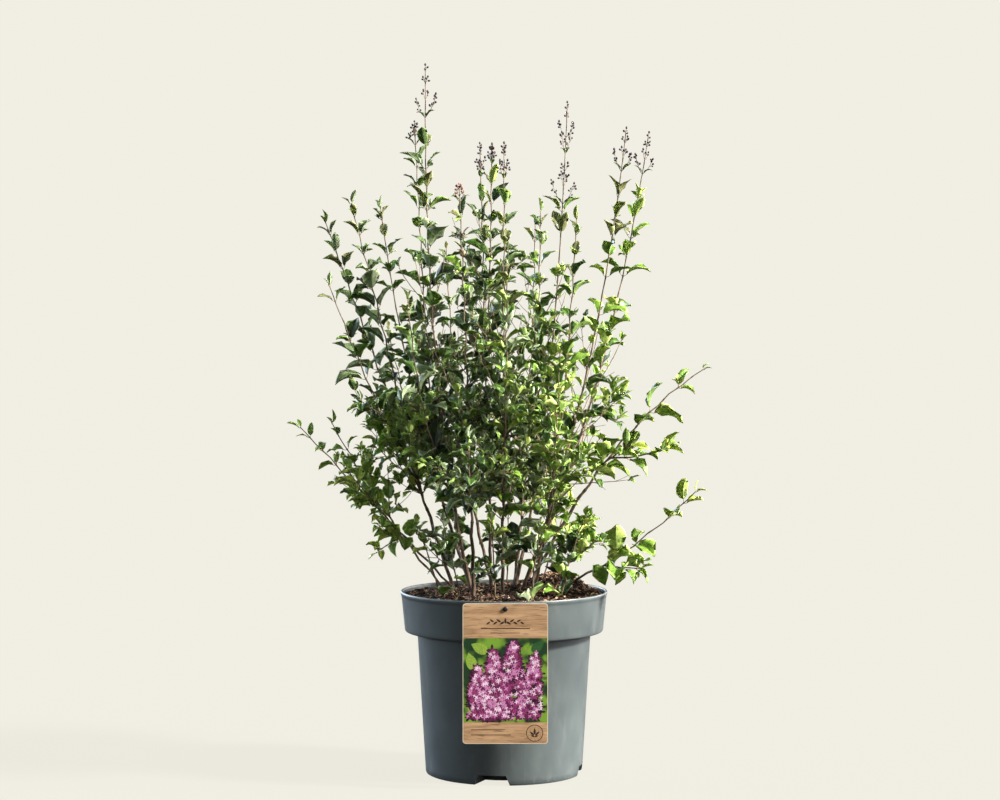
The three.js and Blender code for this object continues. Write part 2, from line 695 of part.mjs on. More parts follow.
// Room for a side twig, which carries two leaf pairs and a leaf at its end.
function findTwig(grown, frame, turn, length, girth, seed) {
  for (let i = 0; i < TRIES; i += 1) {
    const reach = length * (1 - 0.2 * i);
    const heading = leaving(frame, TWIG_OPENING, turn + (chance(seed, i + 80) - 0.5) * (0.6 + i * 0.6));
    const tip = frame.at.clone().addScaledVector(heading, reach);
    tip.z += reach * TWIG_LIFT;
    const curve = shootCurve(frame.at.clone(), tip, [0.6, 0.4]);
    const lines = chords(curve, 0.12, 1, 2);
    const cuts = grown.blades.some((blade) => meets(lines, blade.triangles));
    if (fits(grown.index, lines.map((line) => line.end)) && !cuts) {
      grown.strands.push(...lines);
      const thick = Math.min(girth * 0.7, TWIG_GIRTH);
      const girthAt = (share) => THREE.MathUtils.lerp(thick, TWIG_TIP, share);
      const spin = chance(seed, 99) * TURN;
      const nodes = TWIG_NODES.map((share, order) => ({ share, turn: spin + (order * Math.PI) / 2 }));
      const close = (skin, mouth) => {
        const stations = nodes.map(({ share, turn: way }) => ({
          share,
          parts: [0, Math.PI].map((half) => findLeaf(
            grown,
            frameAt(curve, share),
            PAIR_OPENING,
            way + half,
            1 - 0.15 * share,
            seed + share + half,
          )),
        }));
        const end = growTube(skin, mouth, curve, 0, stations, girthAt);
        closeTip(skin, end, findLeaf(grown, frameAt(curve, 0.98), 0.25, spin, 0.85, seed + 0.59));
      };
      return { heading, close };
    }
  }
  return findLeaf(grown, frame, PAIR_OPENING, turn, 1, seed + 0.73);
}

// Close the end of a shoot with a leaf, or flat.
function closeTip(skin, loop, part) {
  if (part === null) {
    skin.face(...loop);
  } else {
    part.close(skin, loop);
  }
}

// Grow a shoot from a mouth, or from a flat end of its own, through its stations. A plain station is
// one ring; one with parts is a band of two rings, whose sides open into the parts' mouths. The last
// ring comes back, still open.
function growTube(skin, mouth, curve, from, stations, girthAt) {
  const length = curve.getLength();
  const spin = mouth ? spinFrom(skin, mouth, curve) : 0;
  let lower = mouth;
  if (!mouth) {
    lower = ringOn(skin, curve, from, girthAt(0), spin);
    skin.face(lower[0], lower[2], lower[1]);
  }
  const openings = [];
  for (const { share, parts } of stations) {
    const t = from + (1 - from) * share;
    const half = BAND / 2 / length;
    const bottom = ringOn(skin, curve, parts ? t - half : t, girthAt(share), spin);
    bridge(skin, lower, bottom);
    lower = bottom;
    if (parts) {
      const top = ringOn(skin, curve, t + half, girthAt(share), spin);
      const frame = frameAt(curve, t);
      const open = [];
      for (const part of parts.filter((item) => item !== null)) {
        const side = bestSide(frame, part.heading, spin, open);
        if (side !== null) {
          open.push(side);
          openings.push([part, mouthOf(bottom, top, side)]);
        }
      }
      bridge(skin, bottom, top, open);
      lower = top;
    }
  }
  openings.forEach(([part, opening]) => part.close(skin, opening));
  return lower;
}

// The free side of a band that faces a heading best.
function bestSide(frame, heading, spin, taken) {
  let best = null;
  let most = 0;
  for (let i = 0; i < 3; i += 1) {
    const turn = spin + ((i + 0.5) / 3) * TURN;
    const facing = Math.cos(turn) * frame.side.dot(heading) + Math.sin(turn) * frame.out.dot(heading);
    if (!taken.includes(i) && facing > most) {
      best = i;
      most = facing;
    }
  }
  return best;
}

// The stations of a flower head: rows of closed buds, on longer stalks low down in a large head.
function headStations(curve, from, head, seed) {
  const length = curve.getLength() * (1 - from);
  const rows = Math.max(3, Math.round((HEAD_LENGTH * head) / BUD_STEP));
  return Array.from({ length: rows }, (_, row) => {
    const share = 1 - (HEAD_LENGTH * head * (1 - (row + 0.5) / rows)) / length;
    const frame = frameAt(curve, from + (1 - from) * share);
    const turn = row * (Math.PI / 2) + chance(seed, row) * 0.5;
    const reach = BUD_STALK + (1 - row / rows) * BUD_SPREAD * head;
    const parts = [0, Math.PI].map((half) => {
      const heading = leaving(frame, BUD_OPENING, turn + half);
      const size = 0.8 + 0.4 * chance(seed, row + 30 + half);
      return { heading, close: (skin, mouth) => budOn(skin, mouth, heading, reach, size) };
    });
    return { share, parts };
  });
}

// One mass: a main shoot and its side shoots, with their twigs, leaves and flower heads.
function grow(stem, index) {
  const skin = new Skin();
  const strands = stem.shoots.flatMap((shoot) => chords(shoot.curve, shoot.from, 1, CHORDS));
  const grown = { index, blades: [], strands };
  const clothe = (order, mouth) => {
    const { curve, from, girth, head } = stem.shoots[order];
    const whole = curve.getLength();
    const length = whole * (1 - from);
    const girthAt = (share) => THREE.MathUtils.lerp(girth, TIP_GIRTH, share ** 0.8);
    const leafy = length - HEAD_LENGTH * head;
    const count = Math.max(2, Math.round(leafy / NODE_STEP));
    const stations = [];
    for (let node = 0; node < count; node += 1) {
      const way = (node + 0.75) / count;
      const share = (way * leafy) / length;
      const t = Math.min(from + (1 - from) * share, 0.98);
      const frame = frameAt(curve, t);
      const seed = stem.seed * 10 + order * 3 + node * 0.137;
      const turn = node * (Math.PI / 2) + chance(seed, 1) * 0.8;
      const size = way > 0.8 ? 1.35 - 0.6 * way : 1;
      const parts = [0, Math.PI].map((half) => (way < TWIG_ZONE
        ? findTwig(grown, frame, turn + half, TWIG_LENGTH * (1.15 - 0.6 * way), girthAt(share), seed + half)
        : findLeaf(grown, frame, PAIR_OPENING, turn + half, size, seed + half)));
      stations.push({ share: Math.min(share, 0.98), parts });
    }
    if (order === 0) {
      stem.shoots.slice(1).forEach((shoot, i) => {
        const share = (stem.shootShares[i] - from) / (1 - from);
        const heading = shoot.curve.getTangent(0.1);
        stations.push({ share, parts: [{ heading, close: (_, opening) => clothe(i + 1, opening) }] });
      });
    }
    if (head > 0) {
      stations.push(...headStations(curve, from, head, stem.seed + order));
    }
    stations.sort((a, b) => a.share - b.share);
    const start = mouth ? from : from + GAP / whole;
    const spaced = spread(stations, (BAND * 1.6) / length);
    const end = growTube(skin, mouth, curve, start, spaced, girthAt);
    if (head > 0) {
      budOn(skin, end, frameAt(curve, 1).along, 3, 1);
    } else {
      closeTip(skin, end, findLeaf(grown, frameAt(curve, 0.99), 0.3, 1, 0.75, stem.seed + order + 0.5));
    }
  };
  clothe(0, null);
  return skin.geometry();
}

// Push stations apart along their shoot where two would share a place.
function spread(stations, least) {
  let last = 0;
  return stations.map((station) => {
    const share = Math.max(station.share, last + least);
    last = share;
    return { ...station, share };
  });
}

// ---------------------------------------------------------------- assembly
// A limb's girth along it: flared at the foot, a little over the fork's girth where foliage begins.
const limbGirth = (stem) => (share) => {
  const flare = 1 + LIMB_FLARE * (1 - share) ** 8;
  return THREE.MathUtils.lerp(stem.girth, FORK_GIRTH * 1.1, share) * flare;
};

// A socket in the compost, a clearance wider than the stem that stands in it.
function socket(stem) {
  const curve = stem.main;
  const reach = SOCKET_REACH / curve.getLength();
  const below = -(GAP * 1.2) / curve.getLength();
  const ownGirth = stem.bare ? limbGirth(stem) : () => FORK_GIRTH;
  const end = stem.bare ?? 1;
  const girthAt = (share) => ownGirth(Math.max(0, (below + (reach - below) * share) / end)) + GAP * 1.4;
  return solidOf(limb(curve, below, reach, girthAt, LIMB_SIDES, 3));
}

addMesh('compost', geometryOf(makeCompost(masses.map(socket))), compost);

for (const stem of stems) {
  addMesh(`stem_${stem.name}`, limb(stem.main, 0, stem.bare, limbGirth(stem), LIMB_SIDES, LIMB_RINGS), bark);
}

masses.forEach((stem, index) => {
  const name = stem.bare ? `foliage_${stem.name}` : `young_${stem.name}`;
  addMesh(name, grow(stem, index), foliage);
});

export default group;
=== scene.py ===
# %% [markdown]
# # A lilac bush in its nursery pot
# A young lilac is sold in a tapered plastic pot, with a care label pegged to the collar. Sixteen woody
# stems rise from one clump, with young shoots between them. The bush could be grown with a particle
# system, but the export drops particles, so every twig and leaf here is worked out as arrays and joined
# into a few meshes.

# %% Load the frame
import math

import bmesh
import bpy
import numpy as np
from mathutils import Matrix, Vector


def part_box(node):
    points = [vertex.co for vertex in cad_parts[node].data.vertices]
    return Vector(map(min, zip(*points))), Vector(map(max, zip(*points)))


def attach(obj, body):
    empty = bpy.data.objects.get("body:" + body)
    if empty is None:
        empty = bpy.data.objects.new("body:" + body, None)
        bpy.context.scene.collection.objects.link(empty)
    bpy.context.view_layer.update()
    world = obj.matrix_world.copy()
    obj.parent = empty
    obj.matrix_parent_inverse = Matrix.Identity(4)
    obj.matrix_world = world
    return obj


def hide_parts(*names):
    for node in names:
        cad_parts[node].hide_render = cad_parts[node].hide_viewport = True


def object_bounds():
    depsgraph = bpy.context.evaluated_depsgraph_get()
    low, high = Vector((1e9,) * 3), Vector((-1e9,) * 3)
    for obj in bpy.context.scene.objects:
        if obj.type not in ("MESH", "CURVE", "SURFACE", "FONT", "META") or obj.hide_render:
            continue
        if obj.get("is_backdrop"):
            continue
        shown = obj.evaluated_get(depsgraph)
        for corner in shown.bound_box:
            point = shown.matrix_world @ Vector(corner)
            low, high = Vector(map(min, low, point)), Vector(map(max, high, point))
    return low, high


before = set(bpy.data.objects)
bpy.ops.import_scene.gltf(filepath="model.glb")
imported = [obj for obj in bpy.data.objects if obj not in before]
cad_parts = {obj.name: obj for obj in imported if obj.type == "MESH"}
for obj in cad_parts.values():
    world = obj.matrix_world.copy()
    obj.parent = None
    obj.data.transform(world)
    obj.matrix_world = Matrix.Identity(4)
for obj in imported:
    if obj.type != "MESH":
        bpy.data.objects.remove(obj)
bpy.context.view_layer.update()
MM = 0.001
TURN = 2 * math.pi
NODES = sorted(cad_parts)

# %% [markdown]
# ## A repeatable chance
# Growth looks random and has to come out the same every time. A sine of large numbers, of which only
# the fraction is kept, jumps about as a dice does, yet depends on nothing but a seed and a count. The
# same rule places the shoots of the solid model, so the fine bush grows along the same lines.


# %% Chance
def chance(seed, count):
    """The fraction of a large sine: a repeatable number from 0 to 1. Both may be arrays."""
    wave = np.sin(np.asarray(seed) * 127.1 + np.asarray(count) * 311.7 + 17.3) * 43758.5453
    return wave - np.floor(wave)


def between(seed, count, low, high):
    """A repeatable number from low to high."""
    return low + (high - low) * chance(seed, count)


def unit(v):
    """Each vector divided by its length."""
    return v / np.maximum(np.linalg.norm(v, axis=-1, keepdims=True), 1e-12)


def lumps(x, y, seed=0.0):
    """Smooth value noise from -1 to 1: chances at whole numbers, eased between with 3t^2 - 2t^3."""
    x, y = np.asarray(x, float), np.asarray(y, float)
    column, row = np.floor(x), np.floor(y)
    ease_x, ease_y = (t * t * (3 - 2 * t) for t in (x - column, y - row))
    corner = lambda i, j: chance(column + i + seed * 7.7, (row + j) * 1.37 + seed)
    low = corner(0, 0) * (1 - ease_x) + corner(1, 0) * ease_x
    high = corner(0, 1) * (1 - ease_x) + corner(1, 1) * ease_x
    return 2 * (low * (1 - ease_y) + high * ease_y) - 1


print("chance of seed 1:", [round(float(c), 3) for c in chance(1, np.arange(4))])

# %% [markdown]
# ## From arrays to pieces
# Blender takes a whole mesh in one go through foreach_set, which is hundreds of times quicker than
# adding corners one by one. Every piece is made by the one function below. It also says which body the
# piece moves with, which material slot it stands for, and which solids it takes the place of.


# %% Make a piece
def make_piece(name, corners, faces, materials, nodes=(), uv=None, values=None, kinds=None):
    """Corners in millimetres, and faces as arrays of corner numbers, become one mesh that rides on root."""
    mesh = bpy.data.meshes.new(name)
    faces = [np.asarray(f, np.int32) for f in faces if len(f)]
    loops = np.concatenate([f.ravel() for f in faces])
    sizes = np.concatenate([np.full(len(f), f.shape[1]) for f in faces])
    mesh.vertices.add(len(corners))
    mesh.vertices.foreach_set("co", (np.asarray(corners, np.float32) * MM).ravel())
    mesh.loops.add(len(loops))
    mesh.loops.foreach_set("vertex_index", loops)
    mesh.polygons.add(len(sizes))
    mesh.polygons.foreach_set("loop_start", np.concatenate([[0], np.cumsum(sizes)[:-1]]).astype(np.int32))
    mesh.polygons.foreach_set("use_smooth", np.ones(len(sizes), bool))
    if kinds is not None:
        mesh.polygons.foreach_set("material_index", np.asarray(kinds, np.int32))
    if uv is not None:
        mesh.uv_layers.new(name="UVMap").data.foreach_set("uv", uv[loops].astype(np.float32).ravel())
    for key, value in (values or {}).items():
        mesh.attributes.new(key, "FLOAT", "POINT").data.foreach_set("value", value.astype(np.float32))
    mesh.update(calc_edges=True)
    mesh.validate()
    piece = bpy.data.objects.new(name, mesh)
    bpy.context.scene.collection.objects.link(piece)
    for material in materials:
        mesh.materials.append(material)
    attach(piece, "root")
    if nodes:
        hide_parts(*nodes)
    print(f"{name}: {len(corners)} corners, {int((sizes - 2).sum())} triangles")
    return piece


print("the pieces will take the place of", len(NODES), "solids")

# %% [markdown]
# ### Finishing a mesh
# A surface that closes on itself has a seam, where its first and last columns lie on each other, and a
# turned profile has a pole, where many corners share one place. Merging them closes the mesh. Edges that
# turn sharply are then marked, because smooth shading would otherwise blur them. Most surfaces here are
# grids, so one helper gives the faces of any grid.


# %% Weld, sharpen and grid
def weld(piece, distance=1e-6):
    """Merge corners that share a place, and turn every face outwards."""
    work = bmesh.new()
    work.from_mesh(piece.data)
    bmesh.ops.remove_doubles(work, verts=work.verts, dist=distance)
    bmesh.ops.dissolve_degenerate(work, edges=work.edges, dist=distance)
    bmesh.ops.recalc_face_normals(work, faces=work.faces)
    work.to_mesh(piece.data)
    work.free()
    return piece


def sharpen(piece, degrees):
    """Edges that turn by more than the angle stay crisp in smooth shading."""
    piece.data.set_sharp_from_angle(angle=math.radians(degrees))
    return piece


def grid_faces(rows, columns, wrap=False):
    """Quads between neighbouring rows and columns of a grid; wrap joins the last column to the first."""
    across = columns if wrap else columns - 1
    row, column = np.meshgrid(np.arange(rows - 1), np.arange(across), indexing="ij")
    beside = (column + 1) % columns
    quads = [row * columns + column, row * columns + beside, (row + 1) * columns + beside,
             (row + 1) * columns + column]
    return np.stack(quads, axis=-1).reshape(-1, 4)


print("a grid of 3 rows and 4 columns has", len(grid_faces(3, 4)), "faces")

# %% [markdown]
# ## Materials as short recipes
# A Principled shader gives every finish here: plastic, bark, leaf and paper differ in colour, roughness
# and bump. Numbers that hold all over a surface are set on the shader itself, and only what varies is
# wired. The helpers keep each recipe to a few lines. Patterns read Object coordinates, which stay in
# metres on every piece, or a value stored on the mesh.


# %% Material helpers
def srgb(red, green, blue):
    """A colour from 0-255 screen values to the linear values that shaders use."""
    parts = np.array([red, green, blue]) / 255
    return (*np.where(parts <= 0.04045, parts / 12.92, ((parts + 0.055) / 1.055) ** 2.4), 1.0)


class Recipe:
    """A material under construction. Each method adds one node and gives back its output socket."""

    def __init__(self, name, colour=(0.5, 0.5, 0.5, 1), rough=0.5, **sockets):
        self.material = bpy.data.materials.new(name)
        self.material.use_nodes = True
        self.tree = self.material.node_tree
        self.shader = self.tree.nodes["Principled BSDF"]
        self.shader.inputs["Base Color"].default_value = colour
        self.shader.inputs["Roughness"].default_value = rough
        for key, value in sockets.items():
            self.shader.inputs[key.replace("_", " ")].default_value = value

    def node(self, kind, inputs=None, **settings):
        """Add a node of a kind, set its options, and link or set each of its inputs."""
        made = self.tree.nodes.new(kind)
        for key, value in settings.items():
            setattr(made, key, value)
        for key, value in (inputs or {}).items():
            self.feed(made.inputs[key], value)
        return made

    def feed(self, socket, value):
        """Link an input to another node's output, or set it to a plain number or colour."""
        if isinstance(value, bpy.types.NodeSocket):
            self.tree.links.new(value, socket)
        else:
            socket.default_value = value

    def place(self, scale=(1, 1, 1)):
        """Object coordinates, stretched: a larger scale makes a finer pattern that way."""
        where = self.node("ShaderNodeTexCoord").outputs["Object"]
        if scale == (1, 1, 1):
            return where
        return self.node("ShaderNodeMapping", {"Vector": where, "Scale": scale}).outputs[0]

    def noise(self, vector, scale, detail=3.0, rough=0.5):
        """Smooth noise from 0 to 1, with about scale lumps in a metre and finer ones on them."""
        inputs = {"Vector": vector, "Scale": scale, "Detail": detail, "Roughness": rough}
        return self.node("ShaderNodeTexNoise", inputs).outputs["Fac"]

    def sum(self, operation, a, b=0.0, c=0.0):
        """One sum of up to three values, such as MULTIPLY_ADD, which is a b + c."""
        return self.node("ShaderNodeMath", {0: a, 1: b, 2: c}, operation=operation).outputs[0]

    def span(self, value, low, high, to_low=0.0, to_high=1.0):
        """Map low..high of a value to to_low..to_high, eased at both ends."""
        inputs = {0: value, 1: low, 2: high, 3: to_low, 4: to_high}
        return self.node("ShaderNodeMapRange", inputs, interpolation_type="SMOOTHSTEP").outputs[0]

    def value(self, name):
        """A number that is stored on the mesh at every corner."""
        return self.node("ShaderNodeAttribute", attribute_name=name).outputs["Fac"]

    def blend(self, share, a, b):
        """(1 - share) a + share b for two colours. They are inputs 6 and 7 of a Mix node."""
        made = self.node("ShaderNodeMix", {0: share, 6: a, 7: b}, data_type="RGBA")
        return made.outputs[2]

    def bump(self, height, strength, distance):
        """Tilt the shading by a height pattern of so many metres, without moving the surface."""
        inputs = {"Height": height, "Strength": strength, "Distance": distance}
        return self.node("ShaderNodeBump", inputs).outputs[0]

    def use(self, **sockets):
        """Link the finished patterns to the shader, and give the material back."""
        for key, socket in sockets.items():
            self.tree.links.new(socket, self.shader.inputs[key.replace("_", " ")])
        return self.material


print("mid grey in linear light:", round(float(srgb(128, 128, 128)[0]), 3))


# %% [markdown]
# ## The plant's plan
# Each stem is a curve with three points: its foot in the compost, a knee where it turns upwards, and
# its tip. The knee is given as its shares of the way sideways and of the height. Further shoots leave
# the stem on the way. The table repeats the plan of the solid stems, in millimetres, because the fine
# twigs have to grow on from those limbs and reach the same tips.

# %% The stems
STEMS = [
    # name, foot, girth, bare, tip, knee, head, side shoots as (from, tip, knee, head)
    ("front", (-42, -55), 3.6, 0.2, (-61, -110, 817), (0.3, 0.45), 0.35,
     [(0.26, (-47, -205, 477), (0.8, 0.3), 0)]),
    ("left_tall", (-43, -15), 3.3, 0.2, (-109, -20, 986), (1.05, 0.37), 1,
     [(0.26, (-129, -150, 662), (0.75, 0.3), 0)]),
    ("left_fan", (-68, 12), 3, 0.24, (-250, 10, 772), (0.42, 0.45), 0,
     [(0.34, (-212, -30, 797), (0.45, 0.5), 0), (0.3, (-238, -90, 682), (0.5, 0.4), 0)]),
    ("left_low", (-56, -30), 2.4, 0.36, (-284, -20, 486), (0.42, 0.42), 0,
     [(0.5, (-219, -60, 432), (0.5, 0.5), 0), (0.4, (-173, -70, 318), (0.5, 0.3), 0)]),
    ("left_back_low", (-76, 42), 2.4, 0.36, (-244, 50, 488), (0.5, 0.36), 0,
     [(0.42, (-205, 120, 420), (0.5, 0.5), 0)]),
    ("left_back", (-44, 46), 3, 0.23, (-177, 90, 797), (0.7, 0.45), 0,
     [(0.32, (-127, 60, 914), (0.5, 0.4), 0.45), (0.3, (-171, 190, 620), (0.6, 0.4), 0)]),
    ("back_left", (-14, 62), 2.8, 0.23, (-84, 150, 740), (0.8, 0.36), 0,
     [(0.28, (-21, 230, 523), (0.6, 0.4), 0)]),
    ("centre_left", (-18, -6), 2.8, 0.2, (-34, 40, 882), (0.3, 0.4), 0.7,
     [(0.55, (-17, 5, 878), (0.8, 0.4), 0.4)]),
    ("centre", (-2, -40), 3.2, 0.2, (0, -60, 875), (0.6, 0.4), 0.7,
     [(0.27, (4, -160, 709), (0.75, 0.35), 0)]),
    ("centre_right", (13, 8), 3.8, 0.2, (89, 20, 938), (0.75, 0.3), 1.3,
     [(0.33, (52, 60, 790), (0.2, 0.4), 0)]),
    ("front_right", (38, -46), 2.8, 0.22, (98, -118, 772), (0.7, 0.35), 0,
     [(0.28, (74, -175, 590), (0.7, 0.35), 0)]),
    ("right", (22, -20), 3.2, 0.21, (169, -30, 898), (0.72, 0.42), 0.9,
     [(0.27, (178, -70, 470), (0.6, 0.4), 0)]),
    ("right_back", (28, 34), 3.2, 0.21, (206, 70, 899), (0.68, 0.42), 0.9,
     [(0.27, (153, 175, 613), (0.6, 0.36), 0)]),
    ("back_right", (14, 62), 2.8, 0.23, (46, 170, 775), (0.8, 0.36), 0,
     [(0.28, (72, 222, 560), (0.6, 0.36), 0)]),
    ("right_arch", (34, 6), 2.8, 0.34, (280, 10, 566), (0.42, 0.7), 0,
     [(0.5, (230, -40, 462), (0.7, 0.1), 0)]),
    ("right_low", (54, -14), 2.4, 0.36, (266, -40, 398), (0.5, 0.24), 0,
     [(0.4, (188, -60, 292), (0.5, 0.6), 0)]),
]
SUCKER_KNEE = (0.4, 0.6)
SUCKERS = [
    ("shoot_front", (-12, -72), (-18, -112, 372)),
    ("shoot_left", (-88, -34), (-122, -58, 352)),
    ("shoot_right", (78, -44), (112, -78, 366)),
    ("shoot_front_left", (-60, -68), (-84, -112, 362)),
    ("shoot_front_right", (36, -84), (50, -122, 358)),
    ("shoot_back_right", (54, 66), (96, 104, 372)),
    ("shoot_back_left", (-50, 84), (-80, 126, 372)),
    ("shoot_back", (4, 94), (8, 132, 380)),
]
FORK_GIRTH, SHOOT_GIRTH, TIP_GIRTH = 2.3, 1.9, 1.1
ROOT_DEPTH = 8
HEAD_LENGTH = 74
print(len(STEMS), "stems and", len(SUCKERS), "young shoots")

# %% [markdown]
# ## The compost's surface
# Everything in the pot stands on one surface: level near the rim, heaped up on the right. It is a
# function of the place, so that stems, chips and the compost itself all ask it for their height.

# %% Ground
rim_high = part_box("pot")[1]
RIM_RADIUS = rim_high.x / MM
POT_HEIGHT = rim_high.z / MM
POT_WALL = 2.2
COMPOST_LEVEL = 249
HEAPS = [(81, 30, 26, 36), (-15, 10, 9, 62)]


def ground(x, y):
    """The level plus a bell-shaped heap for each of HEAPS, which die out towards the wall."""
    calm = 1 - np.minimum(1, np.hypot(x, y) / (RIM_RADIUS - POT_WALL)) ** 6
    return COMPOST_LEVEL + sum(
        height * calm * np.exp(-((x - cx) ** 2 + (y - cy) ** 2) / (2 * spread ** 2))
        for cx, cy, height, spread in HEAPS)


print("rim radius", round(RIM_RADIUS, 1), "heap top", round(float(ground(81, 30)), 1))

# %% [markdown]
# ## Curves
# A quadratic curve needs only its three points, and its direction is a straight blend of its two legs.
# That makes a frame for every place on a shoot: along it, and two directions square to it, in which
# leaf pairs and twigs are turned. Real shoots are not smooth: they bend a little at every leaf pair,
# first one way and then the other. A triangle wave sideways gives those kinks.


# %% Curves
KINK, KINK_STEP = 1.5, 25.3
KINK_FADE = 6
LONG_SHOOT = 240


def shoot_curve(start, tip, knee):
    """Start, turn and tip. The turn lies at the knee's shares of the way sideways and of the height."""
    start, tip = np.asarray(start, float), np.asarray(tip, float)
    return np.array([start, start + (tip - start) * np.array([knee[0], knee[0], knee[1]]), tip])


def kinks(curve, s):
    """A triangle wave, |2 (w - round w)| swung from -1 to 1, that dies out towards both ends. On a
    shoot shorter than LONG_SHOOT it is smaller in proportion."""
    reach = curve[2] - curve[0]
    length = float(np.linalg.norm(reach))
    sideways = unit(np.cross(reach, (math.sin(length), math.cos(length), 0.2)))
    w = s * length / (2 * KINK_STEP)
    wave = 4 * np.abs(w - np.floor(w + 0.5)) - 1
    fade = np.clip(KINK_FADE * s, 0, 1) * np.clip(KINK_FADE * (1 - s), 0, 1)
    return wave * fade * sideways * KINK * min(1.0, length / LONG_SHOOT)


def on_curve(curve, share):
    """(1-s)^2 start + 2s(1-s) turn + s^2 tip, for each share s, and the kinks on top."""
    s = np.asarray(share, float)[..., None]
    return (1 - s) ** 2 * curve[0] + 2 * s * (1 - s) * curve[1] + s ** 2 * curve[2] + kinks(curve, s)


def curve_length(curve):
    """The sum of 64 short chords."""
    return float(np.linalg.norm(np.diff(on_curve(curve, np.linspace(0, 1, 65)), axis=0), axis=1).sum())


print("length of a bent line:", round(curve_length(shoot_curve((0, 0, 0), (100, 0, 100), (0, 1)))), "mm")

# %% [markdown]
# ### A frame on a curve
# A leaf pair or a twig is placed by its share of the way along its shoot, by the angle at which it
# opens, and by how far it is turned round the shoot. All three need the curve's own directions there.


# %% Frames on a curve
def frame_at(curve, share):
    """The place, and the directions along, side and out. Side is square to the plane of the bend."""
    first, second = curve[1] - curve[0], curve[2] - curve[1]
    along = unit(first * (1 - share) + second * share)
    side = np.cross(first, second)
    if np.linalg.norm(side) < 1e-3 * np.linalg.norm(first) * np.linalg.norm(second):
        side = np.cross(first, (1, 0, 0) if abs(first[0]) < abs(first[1]) else (0, 1, 0))
    side = unit(side)
    return on_curve(curve, share), along, side, unit(np.cross(along, side))


def leaving(place, opening, turn):
    """The direction that leaves a shoot at an opening angle, turned round it."""
    _, along, side, out = place
    return along * math.cos(opening) + (side * math.cos(turn) + out * math.sin(turn)) * math.sin(opening)


print("a twig that opens by 50 degrees heads",
      leaving(frame_at(shoot_curve((0, 0, 0), (0, 9, 90), (0, 0.5)), 0.5), math.radians(50), 0.0).round(2))

# %% [markdown]
# ### From the table to curves
# The foot of every stem is sunk a little into the compost, as deep as the solid stem's. A shoot is kept
# as its curve, the share of it that is a bare limb, its girth there, and the size of its flower head.


# %% Stems and shoots
def plan_stem(index, name, foot, girth, bare, tip, knee, head, side_shoots):
    """A stem's main shoot and its side shoots as (curve, bare share, girth, head)."""
    start = (*foot, float(ground(*foot)) - ROOT_DEPTH)
    main = shoot_curve(start, tip, knee)
    shoots = [(main, bare, FORK_GIRTH, head)]
    for share, side_tip, side_knee, side_head in side_shoots:
        shoots.append((shoot_curve(on_curve(main, share), side_tip, side_knee), 0.0, SHOOT_GIRTH, side_head))
    return {"name": name, "seed": index + 1, "girth": girth, "bare": bare, "shoots": shoots}


stems = [plan_stem(i, *row) for i, row in enumerate(STEMS)]
suckers = [plan_stem(len(STEMS) + i, name, foot, FORK_GIRTH, 0.0, tip, SUCKER_KNEE, 0, [])
           for i, (name, foot, tip) in enumerate(SUCKERS)]
masses = stems + suckers
print("longest shoot", round(max(curve_length(s[0]) for m in masses for s in m["shoots"])), "mm")

# %% [markdown]
# ## Each mass keeps to its own space
# In a real bush the leaves of neighbouring shoots make room for each other. The rule for that is
# simple: a twig or leaf stays only where its own mass's shoots are nearer than any other's, above the
# pot, and clear of the bare stems.


# %% Space
CHORDS = 8
MIDDLE = 0.6
OVERHANG = 6
OVER_RIM, OVER_GROUND, LOWEST_OUTSIDE = 2, 3, 240


def chords(curve, low, high):
    """Straight pieces of a curve between two shares of it, as (piece, end, 3)."""
    points = on_curve(curve, np.linspace(low, high, CHORDS + 1))
    return np.stack([points[:-1], points[1:]], axis=1)


def distance_to(lines, points):
    """From each point to the nearest of the lines: the foot of the perpendicular, kept between its ends."""
    start, way = lines[:, 0], lines[:, 1] - lines[:, 0]
    share = ((points[:, None] - start) * way).sum(-1) / (way ** 2).sum(-1)
    foot = start + np.clip(share, 0, 1)[..., None] * way
    return np.linalg.norm(points[:, None] - foot, axis=-1).min(axis=1)


SPACE_LINES = [np.concatenate([chords(s[0], s[1], 1) for s in m["shoots"]]) for m in masses]
BARE_LINES = np.concatenate([chords(m["shoots"][0][0], 0, m["bare"]) for m in stems])


def room(mass, base, tip, slack, clearance):
    """True for each thing whose middle lies nearest its own mass, or within slack of that, and whose tip
    is above the rim and the compost, and further than the clearance from every bare stem."""
    middle = base + (tip - base) * MIDDLE
    away = np.array([distance_to(lines, middle) for lines in SPACE_LINES])
    own = away[mass.astype(int), np.arange(len(base))]
    x, y, z = tip[:, 0], tip[:, 1], tip[:, 2]
    over_pot = np.hypot(x, y) < RIM_RADIUS + OVERHANG
    floor = np.where(over_pot, np.maximum(POT_HEIGHT + OVER_RIM, ground(x, y) + OVER_GROUND), LOWEST_OUTSIDE)
    off_stems = distance_to(BARE_LINES, tip) > clearance
    return (own <= away.min(axis=0) + slack) & (z > floor) & off_stems


print("spaces are set by", sum(len(lines) for lines in SPACE_LINES), "straight pieces of shoots")

# %% [markdown]
# ## Growing
# A lilac sets its leaves in opposite pairs, each pair turned a quarter from the last. Low on a shoot
# the pairs of buds have grown out into twigs, and many of those are bare inside the bush, where it is
# dark. High up there are only leaves, and they get smaller towards the tip. The solid model's rule
# places a pair at every 76 mm. Here the same places are kept, and two finer pairs are set between them.
# What is grown is only noted down, as rows of numbers, and turned into meshes afterwards, all at once.

# %% Notes of what grows
LEAF_LENGTH = 36
LEAF_SIZES = (0.66, 1.22)
OPENING_CHANGE, TURN_CHANGE = 0.25, 0.3
leaves, twigs, buds, bracts = [], [], [], []


